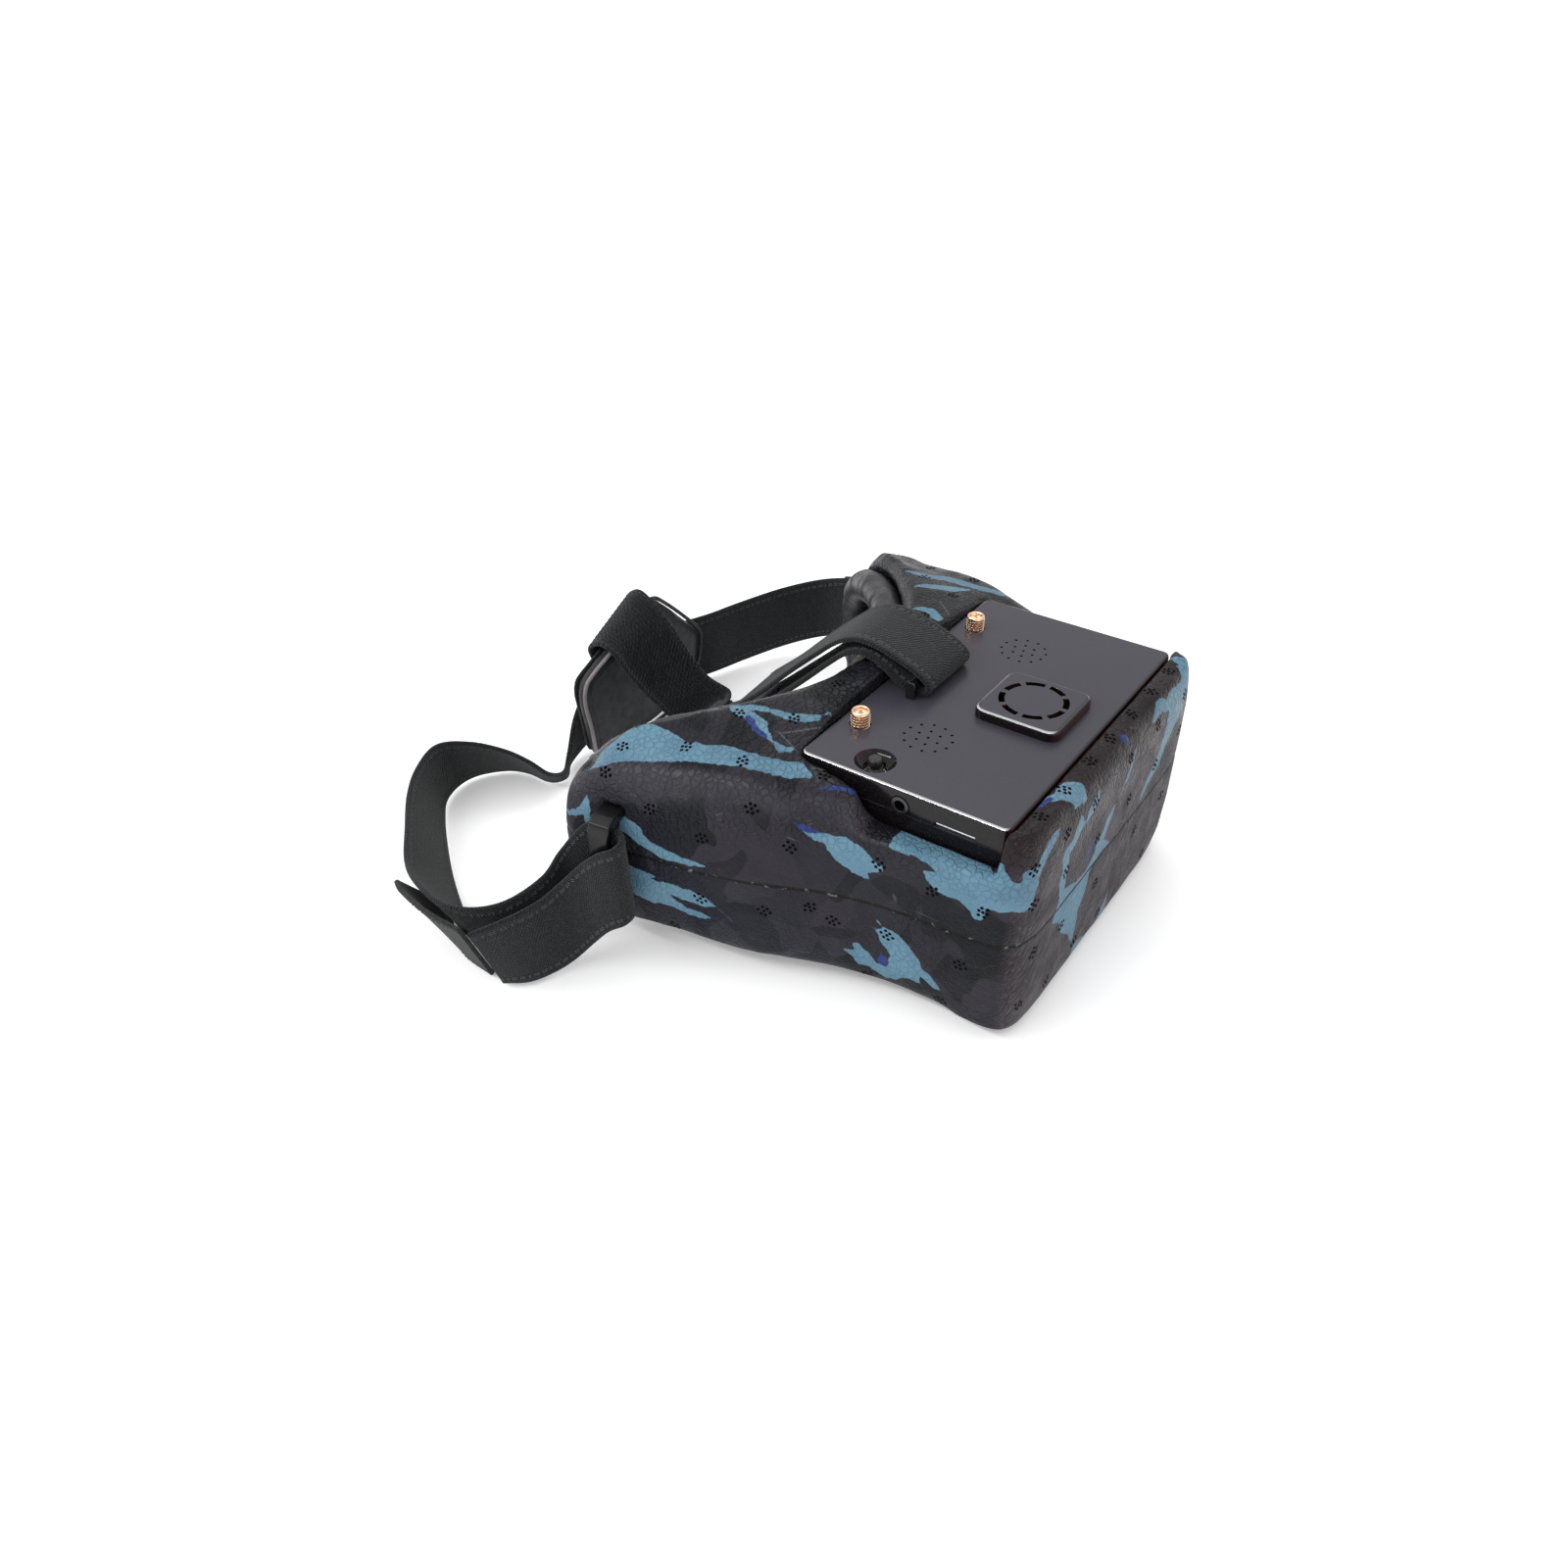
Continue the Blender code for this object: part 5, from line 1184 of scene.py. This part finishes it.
def pad_stitches(pad):
    """Two stitches between each pair of points of a line just inside the edge."""
    tree = surface_of(pad)
    line = []
    for x, z in pad_inset(4.6):
        hit = tree.ray_cast(Vector((x, PAD_FRONT + 30, z)) * MM, Vector((0, -1, 0)))[0]
        line.append((x, pad_face(x), z) if hit is None else tuple(hit / MM))
    line = np.array(line)
    verts, faces = [], []
    outward = np.array((0.0, 1.0, 0.0))
    for a, b in zip(line, line[1:]):
        gap = b - a
        if np.linalg.norm(gap) < 12:
            add_stitch(verts, faces, a + gap * 0.05, a + gap * 0.4, outward, 0.28, 0.3)
            add_stitch(verts, faces, a + gap * 0.55, a + gap * 0.9, outward, 0.28, 0.3)
    settle(from_lists("rear_pad_stitches", verts, faces), THREAD, "pad", sharp=70)


pad = puffed("rear_pad_puffed", "rear_pad", 2.4, 2.0, pad_rim)
subdivided(pad, 1)
settle(pad, PAD_SKIN, "pad", "rear_pad")
pad.data.shade_smooth()
pad_piping()
pad_stitches(pad)
refined("rear_pad_backing", WEBBING, "pad", 0.3)

CUSHION = [(0, 66.0), (24, 67.0), (46, 68.6), (62, 67.2), (74, 61.0), (81.4, 51.0), (83.4, 39.5),
           (79.8, 28.5), (70.0, 21.5), (54, 19.5), (38, 19.8), (25, 24.0), (12, 31.0), (0, 34.0)]


def cushion_wrinkles(ob):
    """Cross wrinkles where the soft roll is bent round the face opening."""
    co = coordinates(ob.data) / MM
    out = normals(ob.data)
    half = np.array([(x, z) for x, z in CUSHION])
    ring = np.vstack([half, np.stack([-half[::-1, 0], half[::-1, 1]], 1)])
    ring = smooth_closed(ring.tolist(), 8)
    step = np.linalg.norm(np.roll(ring, -1, 0) - ring, axis=1)
    run = np.concatenate([[0], np.cumsum(step)[:-1]])
    tree = KDTree(len(ring))
    for i, (x, z) in enumerate(ring):
        tree.insert((x, 0, z), i)
    tree.balance()
    lift = np.zeros(len(co))
    for i, p in enumerate(co):
        s = run[tree.find((p[0], 0, p[2]))[1]]
        lean = p[1] * 0.35
        wave = noise.noise(Vector(((s + lean) / 4.2, p[1] / 19.0, p[2] / 60.0)))
        fine = noise.noise(Vector(((s - lean * 0.6) / 1.9, p[1] / 9.0, 3.7)))
        lift[i] = 0.8 * (0.32 - abs(wave)) + 0.3 * (0.25 - abs(fine))
    put_coordinates(ob.data, (co + out * lift[:, None]) * MM)


cushion = puffed("face_cushion_puffed", "face_cushion", 4.0, 1.2)
subdivided(cushion, 2)
cushion_wrinkles(cushion)
settle(cushion, LEATHER, "leather", "face_cushion")
cushion.data.shade_smooth()

# --------------------------------------------------------------------------
# Floor, light and camera
# --------------------------------------------------------------------------
FLOOR_HALF = 14.0
FLOOR_DROP = 0.0003
# name, place, aim, width, length and power of each lamp, in metres and watts
LAMPS = [
    ("key", (-0.5, -0.25, 1.15), (0, -0.04, 0.05), 0.9, 0.9, 3.5),
    ("strip", (0.82, -0.5, 0.95), (0.06, -0.02, 0.07), 0.1, 1.7, 11.0),
    ("front", (0.5, 1.1, 0.55), (0.0, 0.0, 0.05), 0.8, 0.8, 0.8),
]
CAMERA_AT = (0.321739, 0.139763, 0.289712)
CAMERA_AZIMUTH, CAMERA_TILT, CAMERA_ROLL = 124.714, 35.49, 0.189     # degrees
CAMERA_LENS, CAMERA_SENSOR = 28.794, 36.0                            # mm


def floor():
    look = Look("studio_floor", (0.93, 0.93, 0.935), 0.75, Specular_IOR_Level=0.1,
                Emission_Strength=0.2, Emission_Color=(1.0, 1.0, 1.0, 1.0))
    look.set(Base_Color=look.mix(look.noise(look.where(), 2.0), (0.925, 0.925, 0.93), (0.94, 0.94, 0.945)))
    half = FLOOR_HALF
    mesh = bpy.data.meshes.new("studio_floor")
    square = [(-half, -half, 0), (half, -half, 0), (half, half, 0), (-half, half, 0)]
    mesh.from_pydata(square, [], [(0, 1, 2, 3)])
    mesh.materials.append(look.mat)
    ob = new_object("studio_floor", mesh)
    ob.location.z = CAD_BOX[0][2] - FLOOR_DROP


def sky():
    """Pale surroundings, brighter overhead."""
    world = bpy.data.worlds.new("studio")
    world.use_nodes = True
    tree = world.node_tree
    place = tree.nodes.new("ShaderNodeTexCoord")
    split = tree.nodes.new("ShaderNodeSeparateXYZ")
    ramp = tree.nodes.new("ShaderNodeMapRange")
    ramp.interpolation_type = "SMOOTHSTEP"
    for socket, value in (("From Min", 0.0), ("From Max", 0.7), ("To Min", 0.75), ("To Max", 0.92)):
        ramp.inputs[socket].default_value = value
    tree.links.new(place.outputs["Generated"], split.inputs[0])
    tree.links.new(split.outputs[2], ramp.inputs[0])
    tree.links.new(ramp.outputs[0], tree.nodes["Background"].inputs[1])
    tree.nodes["Background"].inputs[0].default_value = (1.0, 1.0, 1.0, 1.0)
    SCENE.world = world


def lamps():
    for name, place, aim, width, length, power in LAMPS:
        light = bpy.data.lights.new(name, "AREA")
        light.shape = "RECTANGLE"
        light.size = width
        light.size_y = length
        light.energy = power
        ob = bpy.data.objects.new(name, light)
        out = (Vector(place) - Vector(aim)).normalized()
        lengthwise = (Vector((0, 1, 0)) - out * out.y).normalized()
        axes = Matrix((lengthwise.cross(out), lengthwise, out)).transposed()
        ob.matrix_world = Matrix.Translation(place) @ axes.to_4x4()
        SCENE.collection.objects.link(ob)


def camera():
    azimuth, tilt, roll = (math.radians(a) for a in (CAMERA_AZIMUTH, CAMERA_TILT, CAMERA_ROLL))
    back = Vector((math.sin(azimuth) * math.cos(tilt), -math.cos(azimuth) * math.cos(tilt), math.sin(tilt)))
    right = Vector((math.cos(azimuth), math.sin(azimuth), 0))
    up = back.cross(right)
    turned_right = right * math.cos(roll) + up * math.sin(roll)
    turned_up = up * math.cos(roll) - right * math.sin(roll)
    data = bpy.data.cameras.new("photo_camera")
    data.lens = CAMERA_LENS
    data.sensor_width = CAMERA_SENSOR
    data.clip_start = 0.01
    ob = bpy.data.objects.new("photo_camera", data)
    axes = Matrix((turned_right, turned_up, back)).transposed()
    ob.matrix_world = Matrix.Translation(CAMERA_AT) @ axes.to_4x4()
    SCENE.collection.objects.link(ob)
    SCENE.camera = ob


def world_box():
    """Corners of everything shown apart from the CAD and the studio, in metres."""
    graph = bpy.context.evaluated_depsgraph_get()
    low, high = np.full(3, 1e9), np.full(3, -1e9)
    for ob in SCENE.objects:
        if ob.type != "MESH" or ob.name == "studio_floor" or ob.name in NODES:
            continue
        part = ob.evaluated_get(graph)
        mat = np.array(part.matrix_world)
        co = coordinates(part.data) @ mat[:3, :3].T + mat[:3, 3]
        low, high = np.minimum(low, co.min(0)), np.maximum(high, co.max(0))
    return [low.tolist(), high.tolist()]


floor()
sky()
lamps()
SCENE.view_settings.view_transform = "Standard"
SCENE.view_settings.look = "None"
camera()
{"cad_box": [list(map(float, c)) for c in CAD_BOX], "visual_box": world_box()}
